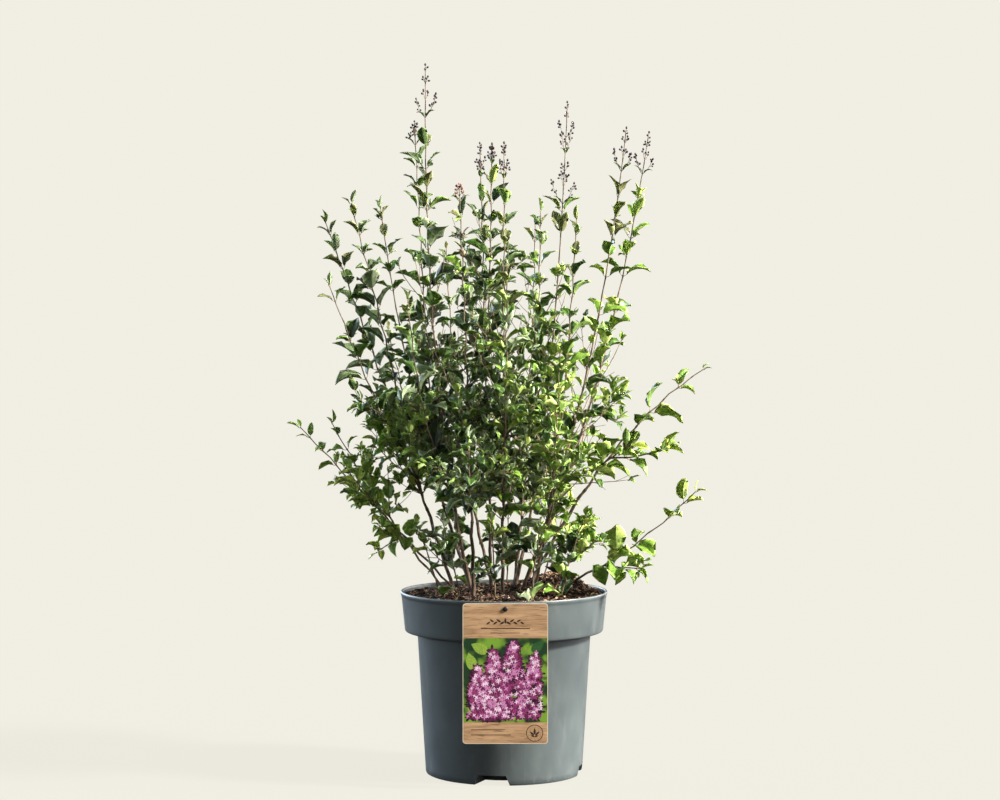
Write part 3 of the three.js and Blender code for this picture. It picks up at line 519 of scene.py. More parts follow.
def add_leaf(mass, place, opening, turn, size, seed, young=0.0, droop=0.0):
    """Note a leaf: its mass, where it starts, where it heads, its size and seed, how young it is, and how
    it hangs. Each leaf's angles and size differ a little from those asked for."""
    opening = opening + between(seed, 20, -OPENING_CHANGE, OPENING_CHANGE)
    turn = turn + between(seed, 1, -TURN_CHANGE, TURN_CHANGE)
    size = size * between(seed, 60, *LEAF_SIZES)
    leaves.append((mass, *place[0], *leaving(place, opening, turn), size, seed, young, droop))


print("a leaf is up to", round(LEAF_LENGTH * LEAF_SIZES[1]), "mm long")

# %% [markdown]
# ### Twigs
# A side twig leaves its shoot at 50 degrees, lifts a little, and carries leaf pairs of its own, and a
# long one carries finer twigs. It is noted as its curve, its girth at both ends and its age. Two low
# stems lean out of the shade. High on those, only the twigs that rise into the light grow long.

# %% Side twigs
TWIG_OPENING = math.radians(50)
PAIR_OPENING = math.radians(50)
QUARTER = TURN / 4
TWIG_LIFT = 0.16
TWIG_STEP = 17
TWIG_TIP_GIRTH = 0.36
SHORTER = 0.6
FINER_TWIG_CHANCE, FINER_TWIG_FROM = 0.32, 30
TWIG_SLACK, TWIG_CLEARANCE = 6.0, 2.0
SUNWARD = ("left_low", "left_back_low")
SUNWARD_FROM, RISING = 340, 0.2
RISING_REACH, LEVEL_REACH = 1.3, 0.5


def twig_curve(mass, place, opening, turn, length):
    """The curve of a side twig, shortened where its space ends. None where there is no room at all.
    High on a sunward stem a rising twig is 1.3 times as long, and any other half as long."""
    heading = leaving(place, opening, turn)
    if masses[mass]["name"] in SUNWARD and place[0][2] > SUNWARD_FROM:
        length *= RISING_REACH if heading[2] > RISING else LEVEL_REACH
    for reach in (length, length * SHORTER):
        tip = place[0] + heading * reach + np.array([0, 0, reach * TWIG_LIFT])
        if room(np.array([mass]), place[0][None], tip[None], TWIG_SLACK, TWIG_CLEARANCE)[0]:
            return shoot_curve(place[0], tip, (0.6, 0.4))
    return None


print("a twig leaves its shoot at", round(math.degrees(TWIG_OPENING)), "degrees")


# %% A side twig and what it carries
def add_twig(mass, place, turn, length, girth, seed, size):
    """Note a side twig, its leaf pairs and the leaves at its end. A long one carries finer twigs. Its foot
    is 0.6 as thick as its shoot, at most 0.3 + length / 90, and its leaves shrink from 1.05 to 0.75 of
    size. A finer twig is 0.62 of its length low down and 0.32 at its end."""
    curve = twig_curve(mass, place, TWIG_OPENING, turn + between(seed, 80, -0.3, 0.3), length)
    if curve is None:
        return
    length = curve_length(curve)
    foot_girth = min(girth * 0.6, 0.3 + length / 90)
    twigs.append((curve, foot_girth, TWIG_TIP_GIRTH, 0.2 + 0.45 * chance(seed, 44)))
    spin = float(chance(seed, 99)) * TURN
    pairs = max(1, round(length / TWIG_STEP))
    for order in range(pairs):
        share = (order + 0.7) / pairs
        if share > 0.95:
            continue
        for half in (0, math.pi):
            own = seed + share + half
            way_round = spin + order * QUARTER + half
            add_leaf(mass, frame_at(curve, share), PAIR_OPENING, way_round, size * (1.05 - 0.3 * share), own)
            if length > FINER_TWIG_FROM and chance(own, 12) < FINER_TWIG_CHANCE:
                finer = length * (0.62 - 0.3 * share)
                add_twig(mass, frame_at(curve, share), way_round + 0.4, finer, 0.9, own + 0.31, size * 0.85)
    for half in (0, math.pi):
        add_leaf(mass, frame_at(curve, 0.99), 0.5, spin + half, size * 0.6, seed + 0.59 + half, 0.5)


print("a twig of 60 mm has", round(60 / TWIG_STEP), "leaf pairs")

# %% Bare twigs of the inside
BARE_OPENINGS, BARE_LENGTHS = (0.35, 0.8), (45, 105)
SPUR_LENGTH = 24


def add_bare_twig(mass, place, turn, seed):
    """Note a thin leafless twig of the dark inside, with two spurs and a pair of small leaves at its end."""
    opening, length = between(seed, 81, *BARE_OPENINGS), between(seed, 82, *BARE_LENGTHS)
    curve = twig_curve(mass, place, opening, turn, length)
    if curve is None:
        return
    twigs.append((curve, 0.75, 0.4, 0.3 + 0.12 * chance(seed, 83)))
    for number, share in enumerate((0.45, 0.75)):
        spur = twig_curve(mass, frame_at(curve, share), 0.7, turn + number * 2.1, SPUR_LENGTH)
        if spur is not None:
            twigs.append((spur, 0.4, 0.28, 0.36))
    for half in (0, math.pi):
        add_leaf(mass, frame_at(curve, 0.99), 0.6, seed + half, 0.42, seed + 0.37 + half)


print("bare twigs are from", BARE_LENGTHS[0], "to", BARE_LENGTHS[1], "mm long")

# %% [markdown]
# ### Clothing a shoot
# Every mass has its own character: how many of its buds have grown out into twigs at three heights, how
# many of its leaf pairs it has kept, and how large they are. The tables below give these, and a stem
# that they don't name takes the usual value.

# %% The rule of growth
NODE_STEP = 76
FINER = 3
TWIG_LENGTH = 62
TWIG_ZONE = 0.62
INSIDE = 120
FULL_HEIGHTS = (430, 530, 620)
USUAL_FULLNESS = (0.85, 0.85, 0.85)
FULLNESS = {"left_fan": (1.6, 0.12, 0.1), "left_low": (0.3, 0.2, 0.2), "left_back": (1.0, 0.4, 0.4),
            "left_back_low": (1.1, 0.4, 0.4), "right_arch": (0, 0, 0), "right_low": (0, 0, 0),
            "right": (0.1, 0.2, 0.8), "right_back": (0.1, 0.15, 0.8)}
PAIRS = {"left_low": 0.8, "left_back_low": 0.85, "right_arch": 0.5, "right_low": 0.65}
SIZES = {"left_low": 0.85, "left_back_low": 0.85, "left_tall": 1.15, "right_arch": 1.15, "right_low": 1.05}
SUCKER_SIZE, SUCKER_FULLNESS, SUCKER_LEAFED = 0.85, 0.24, 0.74
BETWEEN_FULLNESS, BETWEEN_LENGTH = 0.55, 0.5
BARE_TWIG_CHANCE, TUFT_CHANCE = 0.8, 0.45


def is_sucker(mass):
    """True for a young shoot that comes straight out of the compost."""
    return mass["name"].startswith("shoot_")


def pair_size(mass, way, head):
    """0.96 up to 0.66 of the way to the tip. Past that it falls by 1.15 times the rest of the way, and
    below flowers by only 0.55 times. All of it is times the mass's own size."""
    own_size = SUCKER_SIZE if is_sucker(mass) else SIZES.get(mass["name"], 1.0)
    return (0.96 - (0.55 if head else 1.15) * max(0.0, way - 0.66)) * own_size


def twig_share(z, way):
    """The share of buds that grow out into twigs. It rises from 0.3 to 1 between 280 and 380 mm above
    the floor, and falls from 1 to 0.35 between 0.3 and 0.65 of the way to the tip."""
    return float(np.interp(z, [280, 380], [0.3, 1.0]) * np.interp(way, [0.3, 0.65], [1.0, 0.35]))


def fullness(mass, z, way, is_between):
    """The chance that a bud has grown out into a twig: the table's value at this height times the share
    for this way up the shoot, and smaller in the finer pairs between the solid model's own."""
    if is_sucker(mass):
        return SUCKER_FULLNESS
    full = float(np.interp(z, FULL_HEIGHTS, FULLNESS.get(mass["name"], USUAL_FULLNESS)))
    return full * twig_share(z, way) * (BETWEEN_FULLNESS if is_between else 1.0)


print("halfway up a shoot, at 400 mm,", round(twig_share(400, 0.5), 2), "of the usual twigs grow")

# %% A leaf pair and its buds
YOUNG_FROM = 0.7
TUFT_GIRTH, TUFT_LEAFED = 0.7, 0.44
LEAFED_HEIGHTS, LEAFED_SIZES = (400, 540), (0.64, 0.84)


def add_pair(mass_number, place, turn, way, size, seed, full, twig_length, girth):
    """Note a leaf pair and what its two buds have become. Inside the bush that is often a bare twig, low
    on the shoot a leafy one, and high up a tuft 12 - 6 way mm long. Past YOUNG_FROM a pair is steeper by
    its youth in radians and hangs less."""
    sucker = is_sucker(masses[mass_number])
    inside = np.hypot(*place[0][:2]) < INSIDE
    leafed = SUCKER_LEAFED if sucker else float(np.interp(place[0][2], LEAFED_HEIGHTS, LEAFED_SIZES))
    young = max(0, way - YOUNG_FROM)
    opening, droop = PAIR_OPENING - young, 1.0 - 2.6 * young
    for half in (0, math.pi):
        own = seed + half
        add_leaf(mass_number, place, opening, turn + half - 0.35, size, own, young, droop)
        if way < TWIG_ZONE and inside and not sucker and chance(own, 66) < BARE_TWIG_CHANCE:
            add_bare_twig(mass_number, place, turn + half + 0.9, own + 0.21)
        if way > TWIG_ZONE and chance(own, 33) < TUFT_CHANCE:
            add_twig(mass_number, place, turn + half, 12 - 6 * way, TUFT_GIRTH, own, TUFT_LEAFED * size)
        if way < TWIG_ZONE and chance(own, 55) < full:
            add_twig(mass_number, place, turn + half, twig_length, girth, own, leafed)


print("a pair at a tip opens by", round(math.degrees(PAIR_OPENING - 1 + YOUNG_FROM)), "degrees")

# %% A whole shoot
FIRST_PAIR, LAST_PAIR, LAST_SHARE = 0.75, 0.96, 0.985
KEPT_WAYS, KEPT_BETWEEN = (0.3, 0.8), (0.55, 0.9)


def clothe(mass_number, mass, order):
    """Grow one shoot: leaf pairs and twigs along it, and a leaf pair at its tip where no flowers come.
    Its girth falls from girth to TIP_GIRTH with share^0.8, and its twigs from 1.15 to 0.55 of TWIG_LENGTH.
    Each pair is a quarter round from the last. Some pairs have been lost."""
    curve, start, girth, head = mass["shoots"][order]
    length = curve_length(curve) * (1 - start)
    leafy = length - HEAD_LENGTH * head
    count = max(2, round(leafy / NODE_STEP))
    for node in range(1 - FINER, count * FINER):
        way = (node / FINER + FIRST_PAIR) / count
        if way > (1.0 if head else LAST_PAIR):
            continue
        share = min(way * leafy / length, LAST_SHARE)
        place = frame_at(curve, start + (1 - start) * share)
        seed = mass["seed"] * 10 + order * 3 + node / FINER * 0.137
        is_between = node % FINER > 0
        kept = float(np.interp(way, KEPT_WAYS, KEPT_BETWEEN)) if is_between else 1.0
        if chance(seed, 77) > kept * PAIRS.get(mass["name"], 1.0):
            continue
        turn = -node * QUARTER + float(chance(seed, 1)) * 0.8
        size = pair_size(mass, way, head)
        full = fullness(mass, float(place[0][2]), way, is_between)
        twig_length = TWIG_LENGTH * (1.15 - 0.6 * way) * (BETWEEN_LENGTH if is_between else 1.0)
        thick = girth + (TIP_GIRTH - girth) * share ** 0.8
        add_pair(mass_number, place, turn, way, size, seed, full, twig_length, thick)
    if head == 0:
        for half in (0, math.pi):
            own = mass["seed"] + order + half
            add_leaf(mass_number, frame_at(curve, 0.995), 0.5, 1.0 + half, 0.46, own, 0.3)


print("a shoot of 400 mm has", FINER * (round(400 / NODE_STEP) + 1) - 1, "places for leaf pairs")

# %% Grow them all
for mass_number, mass in enumerate(masses):
    for order in range(len(mass["shoots"])):
        clothe(mass_number, mass, order)
print("noted", len(leaves), "leaves and", len(twigs), "twigs")
LEAF_SLACK, LEAF_CLEARANCE = 6.0, 5.0
leaves = np.array(leaves, float)
leaf_tips = leaves[:, 1:4] + leaves[:, 4:7] * leaves[:, 7:8] * LEAF_LENGTH
leaves = leaves[room(leaves[:, 0], leaves[:, 1:4], leaf_tips, LEAF_SLACK, LEAF_CLEARANCE)]
print("kept", len(leaves), "leaves that stay in their own space")

# %% [markdown]
# ## Flower heads
# A head of lilac is a loose spire. Its lowest pair of branchlets is long and steep and carries buds of
# its own, and the others get short quickly. Every branchlet ends in three or so closed buds. A pair of
# narrow bracts arches out below each of the lowest rows. The heads sit where the source has them, at
# the tips of the tallest shoots, and the largest one has a second tier of branchlets.

# %% Buds and branchlets
BUD_ROW = 18
BUD_STALK = 5
BUD_SPREAD = 24
BUD_OPENING = 0.6
LONG_BRANCHLET, LONGEST_BRANCHLET = 14, 24
SPUR_PLACES, SPUR_REACH = (0.45, 0.62, 0.8), 5
BRACT_SIZE = 0.46


def add_cluster(curve, seed, count, dry):
    """Note closed buds round the end of a branchlet: one at its tip, the others close below."""
    length = curve_length(curve)
    for i in range(count):
        place = frame_at(curve, 1 - (0.2 + i * 1.7) / length)
        opening = 0.1 if i == 0 else float(between(seed, i, 0.6, 1.1))
        heading = leaving(place, opening, i * 2.4 + float(chance(seed, 5)) * TURN)
        buds.append((*place[0], *heading, float(between(seed, i + 9, 0.8, 1.25)), dry))


def add_branchlet(place, turn, reach, seed, dry):
    """Note a branchlet with its buds. One longer than 14 mm carries two spurs, and past 24 mm three."""
    heading = leaving(place, BUD_OPENING, turn)
    tip = place[0] + heading * reach + np.array([0, 0, reach * 0.12])
    branch = shoot_curve(place[0], tip, (0.7, 0.35))
    twigs.append((branch, 0.42, 0.26, 0.3))
    add_cluster(branch, seed, 3, dry)
    if reach > LONG_BRANCHLET:
        for number, share in enumerate(SPUR_PLACES[-2 if reach < LONGEST_BRANCHLET else 0:]):
            side = frame_at(branch, share)
            spur_way = leaving(side, 0.7, turn + number * math.pi)
            spur = shoot_curve(side[0], side[0] + spur_way * SPUR_REACH, (0.6, 0.4))
            twigs.append((spur, 0.34, 0.24, 0.3))
            add_cluster(spur, seed + share, 2, dry)


print("the longest branchlets carry", len(SPUR_PLACES), "spurs")


# %% The rule of flowering
def add_head(curve, head, seed, dry):
    """Note the branchlets of a head, lowest row first: stalk + spread head (1 - tier)^3 mm long, where
    tier runs from 0 to 1 over the rows. The largest head has two tiers, and a power of 2."""
    tall = HEAD_LENGTH * head * (1.12 if head > 1 else 0.8)
    rows = max(3, round(tall / BUD_ROW))
    length = curve_length(curve)
    for row in range(rows):
        place = frame_at(curve, 1 - tall * (1 - (row + 0.1) / rows) / length)
        turn = QUARTER / 2 + row * QUARTER + float(chance(seed, row)) * 0.5
        tier = (2 * row / rows) % 1 if head > 1 else row / rows
        reach = BUD_STALK + BUD_SPREAD * min(1.25, head) * (1 - tier) ** (2 if head > 1 else 3)
        for half in (0, math.pi):
            own = seed + row + half
            add_branchlet(place, turn + half, reach * float(between(own, 2, 0.8, 1.15)), own, dry)
            if tier == 0:
                heading = leaving(place, 0.8, turn + half)
                bracts.append((0, *place[0], *heading, BRACT_SIZE, own, 0.0, 1.2))
    add_cluster(curve, seed + 0.77, 4, dry)


for mass in stems:
    for order, (curve, start, girth, head) in enumerate(mass["shoots"]):
        if head > 0:
            add_head(curve, head, mass["seed"] + order, float(mass["name"] == "front" and order == 0))
print("noted", len(buds), "buds and", len(bracts), "bracts")

# %% [markdown]
# ## A leaf
# The leaf of this lilac is widest a little below its middle and ends in a point. It folds up from its
# midrib like a shallow V, its tip curls over, and its margin waves. All leaves are worked out together,
# as one block of arrays: leaf by row by column. Each is a thin closed skin, a pale underside below the
# green upper side, which costs a few dozen faces.

# %% Leaf outline and axes
LEAF_ROWS, LEAF_COLUMNS = 7, 5
LEAF_THICKNESS = 0.4
LEAF_RATIO = 0.65
BLADE = np.array([0, 0.07, 0.22, 0.42, 0.64, 0.84, 1])
ROLLS = (-0.5, 0.5)


def leaf_outline(v):
    """Half width along the blade as a share of the widest: v^0.62 (1-v)^0.8, drawn in near the tip."""
    shape = v ** 0.62 * (1 - v) ** 0.8 * (1 - 0.38 * np.clip((v - 0.55) / 0.45, 0, 1) ** 1.5)
    peak = np.linspace(0, 1, 200)
    most = (peak ** 0.62 * (1 - peak) ** 0.8).max()
    return np.maximum(shape / most, 0.035)


def leaf_axes(heading, seed):
    """Along, side and up for every leaf: side is level, then rolled a little about the leaf's own line."""
    along = unit(heading)
    side = np.cross(along, (0.0, 0.0, 1.0))
    side = np.where(np.linalg.norm(side, axis=1, keepdims=True) < 0.05, (1.0, 0.0, 0.0), side)
    side = unit(side)
    roll = between(seed, 40, *ROLLS)[:, None]
    side = side * np.cos(roll) + np.cross(along, side) * np.sin(roll)
    return along, side, np.cross(side, along)


print("widest", round(float(np.argmax(leaf_outline(np.linspace(0, 1, 101)))) / 100, 2), "along the blade")

# %% [markdown]
# ### Bending the blades
# The outline is bent in three ways: along the blade into an arc, across it into a V, and along its
# margin into a wave. How much differs from leaf to leaf, by each leaf's own seed. Leaves in the shade
# low down are rounder, and young ones are narrower.

# %% Leaf surface
CURLS, FOLDS, WAVES, TWISTS = (0.3, 1.1), (0.25, 0.85), (0.08, 0.2), (-0.4, 0.4)
WIDTHS = (0.86, 1.12)
LEAF_RISE = 0.3
SHADE_TOP, SHADE_DEPTH, SHADE_ROUNDER = 430, 90, 0.3


def leaf_blocks(base, heading, size, seed, young, droop, ratio=LEAF_RATIO):
    """Corners of every leaf, (leaf, corner, 3). Along the blade it follows an arc that bends down from
    LEAF_RISE by its curl. Across, it is lifted by fold |u| times the half width, and by a wave that
    grows with u^2 towards the margin. The section then turns by the twist on its way to the tip."""
    each = lambda a: a[:, None, None]
    v, u = BLADE[None, :, None], np.linspace(-1, 1, LEAF_COLUMNS)[None, None, :]
    length = each(LEAF_LENGTH * size)
    curl = each(between(seed, 3, *CURLS) + 0.45 * droop)
    fold = each(between(seed, 4, *FOLDS))
    wave = each(between(seed, 6, *WAVES))
    twist = each(between(seed, 9, *TWISTS)) * v
    rounder = 1 + SHADE_ROUNDER * np.clip((SHADE_TOP - base[:, 2]) / SHADE_DEPTH, 0, 1)
    width = ratio * rounder * (1 - 1.1 * np.minimum(young, 0.3)) * between(seed, 5, *WIDTHS)
    half = length * each(width) / 2 * leaf_outline(v)
    angle = LEAF_RISE - curl * v
    forward = length * (np.sin(LEAF_RISE) - np.sin(angle)) / curl
    upward = length * (np.cos(angle) - np.cos(LEAF_RISE)) / curl
    phase = each(chance(seed, 8)) * TURN
    lift = half * (np.abs(u) * fold + wave * np.sin(9 * v + phase) * u * np.abs(u) * 2)
    sideways = half * u / np.sqrt(1 + 0.6 * fold ** 2)
    across = sideways * np.cos(twist) - lift * np.sin(twist)
    raised = sideways * np.sin(twist) + lift * np.cos(twist)
    x, z = forward - raised * np.sin(angle), upward + raised * np.cos(angle)
    along, side, up = (a[:, None, None, :] for a in leaf_axes(heading, seed))
    top = base[:, None, None, :] + x[..., None] * along + across[..., None] * side + z[..., None] * up
    normal = np.sin(-angle)[..., None] * along + np.cos(angle)[..., None] * up
    inner = top[:, 1:-1, 1:-1] - normal[:, 1:-1] * LEAF_THICKNESS * each(np.minimum(1, size))[..., None]
    return np.concatenate([top.reshape(len(base), -1, 3), inner.reshape(len(base), -1, 3)], axis=1)


print("a leaf has", LEAF_ROWS * LEAF_COLUMNS + (LEAF_ROWS - 2) * (LEAF_COLUMNS - 2), "corners")


# %% Leaf faces
def leaf_faces():
    """Faces of one leaf, upper side first. The underside shares the upper side's margin."""
    top = np.arange(LEAF_ROWS * LEAF_COLUMNS).reshape(LEAF_ROWS, LEAF_COLUMNS)
    under = top.copy()
    inner = np.arange((LEAF_ROWS - 2) * (LEAF_COLUMNS - 2)) + top.size
    under[1:-1, 1:-1] = inner.reshape(LEAF_ROWS - 2, LEAF_COLUMNS - 2)
    quads = lambda g: np.stack([g[:-1, :-1], g[:-1, 1:], g[1:, 1:], g[1:, :-1]], axis=-1).reshape(-1, 4)
    return quads(top)[:, ::-1], quads(under)


def leaf_uv():
    """Across and along the blade, for the veins."""
    v, u = np.meshgrid(BLADE, np.linspace(0, 1, LEAF_COLUMNS), indexing="ij")
    both = np.stack([u, v], axis=-1)
    return np.concatenate([both.reshape(-1, 2), both[1:-1, 1:-1].reshape(-1, 2)])


print("faces of one leaf:", sum(len(f) for f in leaf_faces()))

# %% [markdown]
# ## Greens dealt out by spray
# Leaves of one spray are alike, and sprays differ by chance. The greens also carry painted light: sprays
# where the key light falls, to the right, the front and the top, and low down, most of all at the left,
# are dealt lighter greens, the lightest standing in for leaves lit through. Sprays deep inside and in the
# heart of the clump are dealt darker greens, as painted shade. Some at the tips of high shoots are olive.
# So each spray is dealt one of six plain greens, by chance and by where it grows, and a few leaves have
# dried to brown. Leaf by leaf colours could be stored on the mesh, but plain materials keep their place
# in any export. Veins, a painted highlight along the margin and a faint mottle come from nodes, and they
# keep these plain colours from looking flat.

# %% Leaf materials
TONES = {
    "deep": srgb(34, 50, 20),
    "mid": srgb(72, 102, 40),
    "blue_green": srgb(102, 120, 80),
    "fresh": srgb(118, 152, 58),
    "lime": srgb(174, 192, 84),
    "olive": srgb(92, 96, 56),
    "dried": srgb(104, 78, 66),
}
UNDERSIDES = {"deep": srgb(80, 100, 54), "mid": srgb(118, 142, 76), "blue_green": srgb(142, 154, 120),
              "fresh": srgb(160, 178, 94), "lime": srgb(192, 204, 108), "olive": srgb(128, 128, 84),
              "dried": srgb(112, 88, 76)}


def leaf_material(name, colour, under=False):
    """Green with paler veins, and a painted highlight that lightens the margin. Side veins are lines of
    equal (7 v - 2.2 |u|), pressed in by bump on the upper side and standing out below. The underside is
    duller."""
    r = Recipe(name, colour, 0.55 if under else 0.34, Specular_IOR_Level=0.14 if under else 0.3,
               Subsurface_Weight=0.1, Subsurface_Scale=0.0015)
    r.shader.inputs["Subsurface Radius"].default_value = (0.7, 1.0, 0.2)
    apart = r.node("ShaderNodeSeparateXYZ", {0: r.node("ShaderNodeUVMap", uv_map="UVMap").outputs[0]})
    across = r.sum("ABSOLUTE", r.sum("MULTIPLY_ADD", apart.outputs[0], 2.0, -1.0))
    veins = r.sum("MULTIPLY_ADD", across, -2.2, r.sum("MULTIPLY", apart.outputs[1], 7.0))
    near = r.sum("PINGPONG", veins, 0.5)
    side_vein = r.span(near, 0.0, 0.11, 1.0, 0.0)
    midrib = r.span(across, 0.0, 0.09, 1.0, 0.0)
    vein = r.sum("MAXIMUM", r.sum("MULTIPLY", side_vein, 0.42), midrib)
    mottle = r.noise(r.place(), 210.0, 2.0)
    dark = tuple(c * 0.55 for c in colour[:3]) + (1,)
    pale = tuple(min(1, c * 1.6 + 0.09) for c in colour[:3]) + (1,)
    body = r.blend(r.span(mottle, 0.35, 0.7), colour, dark)
    # painted highlight: the margin of the blade, on both sides, is blended towards the pale colour
    rim = r.span(across, 0.84, 0.96, 0.0, 0.85)
    painted = r.blend(r.sum("MAXIMUM", r.sum("MULTIPLY", vein, 0.5), rim), body, pale)
    height = r.sum("MULTIPLY_ADD", mottle, 0.25, r.sum("MULTIPLY", vein, 1.0 if under else -1.0))
    return r.use(Base_Color=painted, Normal=r.bump(height, 0.5, 0.0005))


greens = {name: leaf_material("leaf_" + name, colour) for name, colour in TONES.items()}
pales = {name: leaf_material("under_" + name, colour, under=True) for name, colour in UNDERSIDES.items()}
print(len(greens), "upper sides and", len(pales), "undersides")

# %% Deal the tones
BLUE_GREEN, FRESH, OLIVE, DRIED = (
    list(TONES).index(tone) for tone in ("blue_green", "fresh", "olive", "dried"))
TONE_STEPS = [0.43, 0.57, 0.7, 0.88]
HALF_SPREAD, HALF_DEPTH, CROWN_MIDDLE, CROWN_HEIGHT = 280, 230, 560, 420
LOW_TOP, LOW_DEPTH = 440, 130
HEART, HEART_TOP = 130, 320
SUNNY_FROM, BLUE_UP_TO, LOW_LEFT, LOW_LEFT_TOP = 60, -70, -100, 500
TIP_AGE, OLIVE_FROM = 0.12, 540
WITHERED_AT, WITHERED_REACH, WITHERED_SIZE, WITHERED_AGE = 735, 40, 0.62, 0.3


def deal_tones(rows):
    """The number of each leaf's tone. The value sun is painted light: it grows to the right, to the front
    and upwards, where the key light falls, and again below LOW_TOP, where the low sprays reach out of the
    shade, most of all at the low left, and it drops in the heart of the clump as painted shade. The tone is
    0.42 sun
    + 0.2 outward, which leaves the inside darker as painted shade, + 0.5 the spray's chance + 0.1 the
      leaf's,
    cut at TONE_STEPS. Blue green is left out on the sunny side and fresh green on the other, as more painted
    light and shade. Tips may turn olive, and a few leaves on the foremost stem have withered."""
    x, y, z, seed, young = rows[:, 1], rows[:, 2], rows[:, 3], rows[:, 8], rows[:, 9]
    # painted light: lighter greens where the key light falls, painted shade in the heart of the clump
    sun = 0.5 + 0.3 * x / HALF_SPREAD - 0.08 * y / HALF_DEPTH + 0.12 * (z - CROWN_MIDDLE) / CROWN_HEIGHT
    sun = sun + 0.36 * np.clip((LOW_TOP - z) / LOW_DEPTH, 0, 1)
    sun -= 0.45 * ((np.hypot(x, y) < HEART) & (z < HEART_TOP))
    low_left = (x < LOW_LEFT) & (z < LOW_LEFT_TOP)
    sun += 0.45 * low_left
    outward = np.hypot(x, y) / 250
    spray = np.round(seed, 1)
    value = 0.42 * sun + 0.2 * outward + 0.5 * chance(spray, 7) + 0.1 * (chance(seed, 70) - 0.5)
    tone = np.digitize(value, TONE_STEPS)
    # painted light and shade: fresh green on the lit right and low left, blue green on the shaded left
    tone = np.where((tone == BLUE_GREEN) & ((x > SUNNY_FROM) | low_left), FRESH, tone)
    tone = np.where((tone == FRESH) & (x < BLUE_UP_TO) & ~low_left, BLUE_GREEN, tone)
    tone = np.where((young > TIP_AGE) & (chance(seed, 17) < 0.5) & (z > OLIVE_FROM), OLIVE, tone)
    withered = (rows[:, 0] == 0) & (np.abs(z - WITHERED_AT) < WITHERED_REACH) & (chance(seed, 23) < 0.4)
    return np.where(withered, DRIED, tone)


tones = deal_tones(leaves)
leaves[tones == DRIED, 7] *= WITHERED_SIZE
leaves[tones == DRIED, 9] = WITHERED_AGE
print("leaves by tone", dict(zip(TONES, np.bincount(tones, minlength=len(TONES)).tolist())))

# %% The leaves
foliage_nodes = [n for n in NODES if n.startswith(("foliage_", "young_"))]
top_faces, under_faces = leaf_faces()
corner_uv = leaf_uv()
on_midrib = np.isclose(corner_uv[:, 0], 0.5)
PETIOLE = 6.5
LEAVES_IN_A_PIECE = 1900


def make_leaves(name, rows, tone, ratio=LEAF_RATIO):
    """One joined piece of leaves. A leaf starts a short stalk's length away from its twig. The edges
    along its midrib are marked sharp, so that the fold stays a crease in smooth shading."""
    base = rows[:, 1:4] + rows[:, 4:7] * PETIOLE * np.minimum(rows[:, 7:8], 1)
    blocks = leaf_blocks(base, rows[:, 4:7], rows[:, 7], rows[:, 8], rows[:, 9], rows[:, 10], ratio)
    count, each = blocks.shape[:2]
    shift = (np.arange(count) * each)[:, None, None]
    faces = np.concatenate([(side[None] + shift).reshape(-1, 4) for side in (top_faces, under_faces)])
    kinds = np.repeat([0, 1], [count * len(top_faces), count * len(under_faces)])
    piece = make_piece(name, blocks.reshape(-1, 3), [faces], [greens[tone], pales[tone]],
                       foliage_nodes, uv=np.tile(corner_uv, (count, 1)), kinds=kinds)
    ends = np.empty(len(piece.data.edges) * 2, np.int32)
    piece.data.edges.foreach_get("vertices", ends)
    creased = on_midrib[ends.reshape(-1, 2) % each].all(axis=1)
    piece.data.attributes.new("sharp_edge", "BOOLEAN", "EDGE").data.foreach_set("value", creased)
    return piece


for number, tone in enumerate(TONES):
    rows = leaves[tones == number]
    rows = rows[np.argsort(rows[:, 1])]
    parts = np.array_split(rows, math.ceil(len(rows) / LEAVES_IN_A_PIECE))
    for part, block in enumerate(parts):
        make_leaves(f"leaves_{tone}_{part + 1}", block, tone)

# %% [markdown]
# ## Tubes
# Stems, shoots, twigs and leaf stalks are all rings carried along a path. A ring needs two directions
# square to the path. They come from one steady direction, from which the part along the path is taken
# away, so a tube never twists on a gentle bend.


# %% Tube function
def tubes(paths, girths, sides, relief=None):
    """Paths (n, rings, 3) and girths (n, rings) give corners and faces of n closed tubes.
    A corner is point + r cos(t) side + r sin(t) out, where r is the girth times 1 + relief."""
    count, rings = paths.shape[:2]
    along = unit(np.gradient(paths, axis=1))
    middle = along[:, rings // 2]
    steady = np.where(np.abs(middle[:, :1]) < 0.7, (1.0, 0.0, 0.0), (0.0, 1.0, 0.0))[:, None]
    side = unit(steady - (steady * along).sum(-1, keepdims=True) * along)
    out = np.cross(along, side)
    t = np.arange(sides) / sides * TURN
    r = girths[:, :, None] * (1 if relief is None else 1 + relief)
    across = (r * np.cos(t))[..., None] * side[:, :, None]
    upward = (r * np.sin(t))[..., None] * out[:, :, None]
    corners = paths[:, :, None] + across + upward
    shift = (np.arange(count) * rings * sides)[:, None, None]
    walls = (grid_faces(rings, sides, wrap=True)[None] + shift).reshape(-1, 4)
    ring = np.arange(sides)
    ends = np.stack([ring[::-1], ring + (rings - 1) * sides])
    return corners.reshape(-1, 3), [walls, (ends[None] + shift).reshape(-1, sides)]


sample = tubes(np.eye(3)[None], np.ones((1, 3)), 5)
print("a tube with 3 rings of 5 has", sum(len(f) for f in sample[1]), "faces")

# %% [markdown]
# ## Bark
# Old lilac stems are grey-brown, with shallow furrows along them and small corky dots. Young wood is
# smooth and reddish brown, and the newest twigs are green. One material does all three: a value called
# age is stored on every corner, from 1 at the foot to 0 at a growing tip, and the colours follow it.

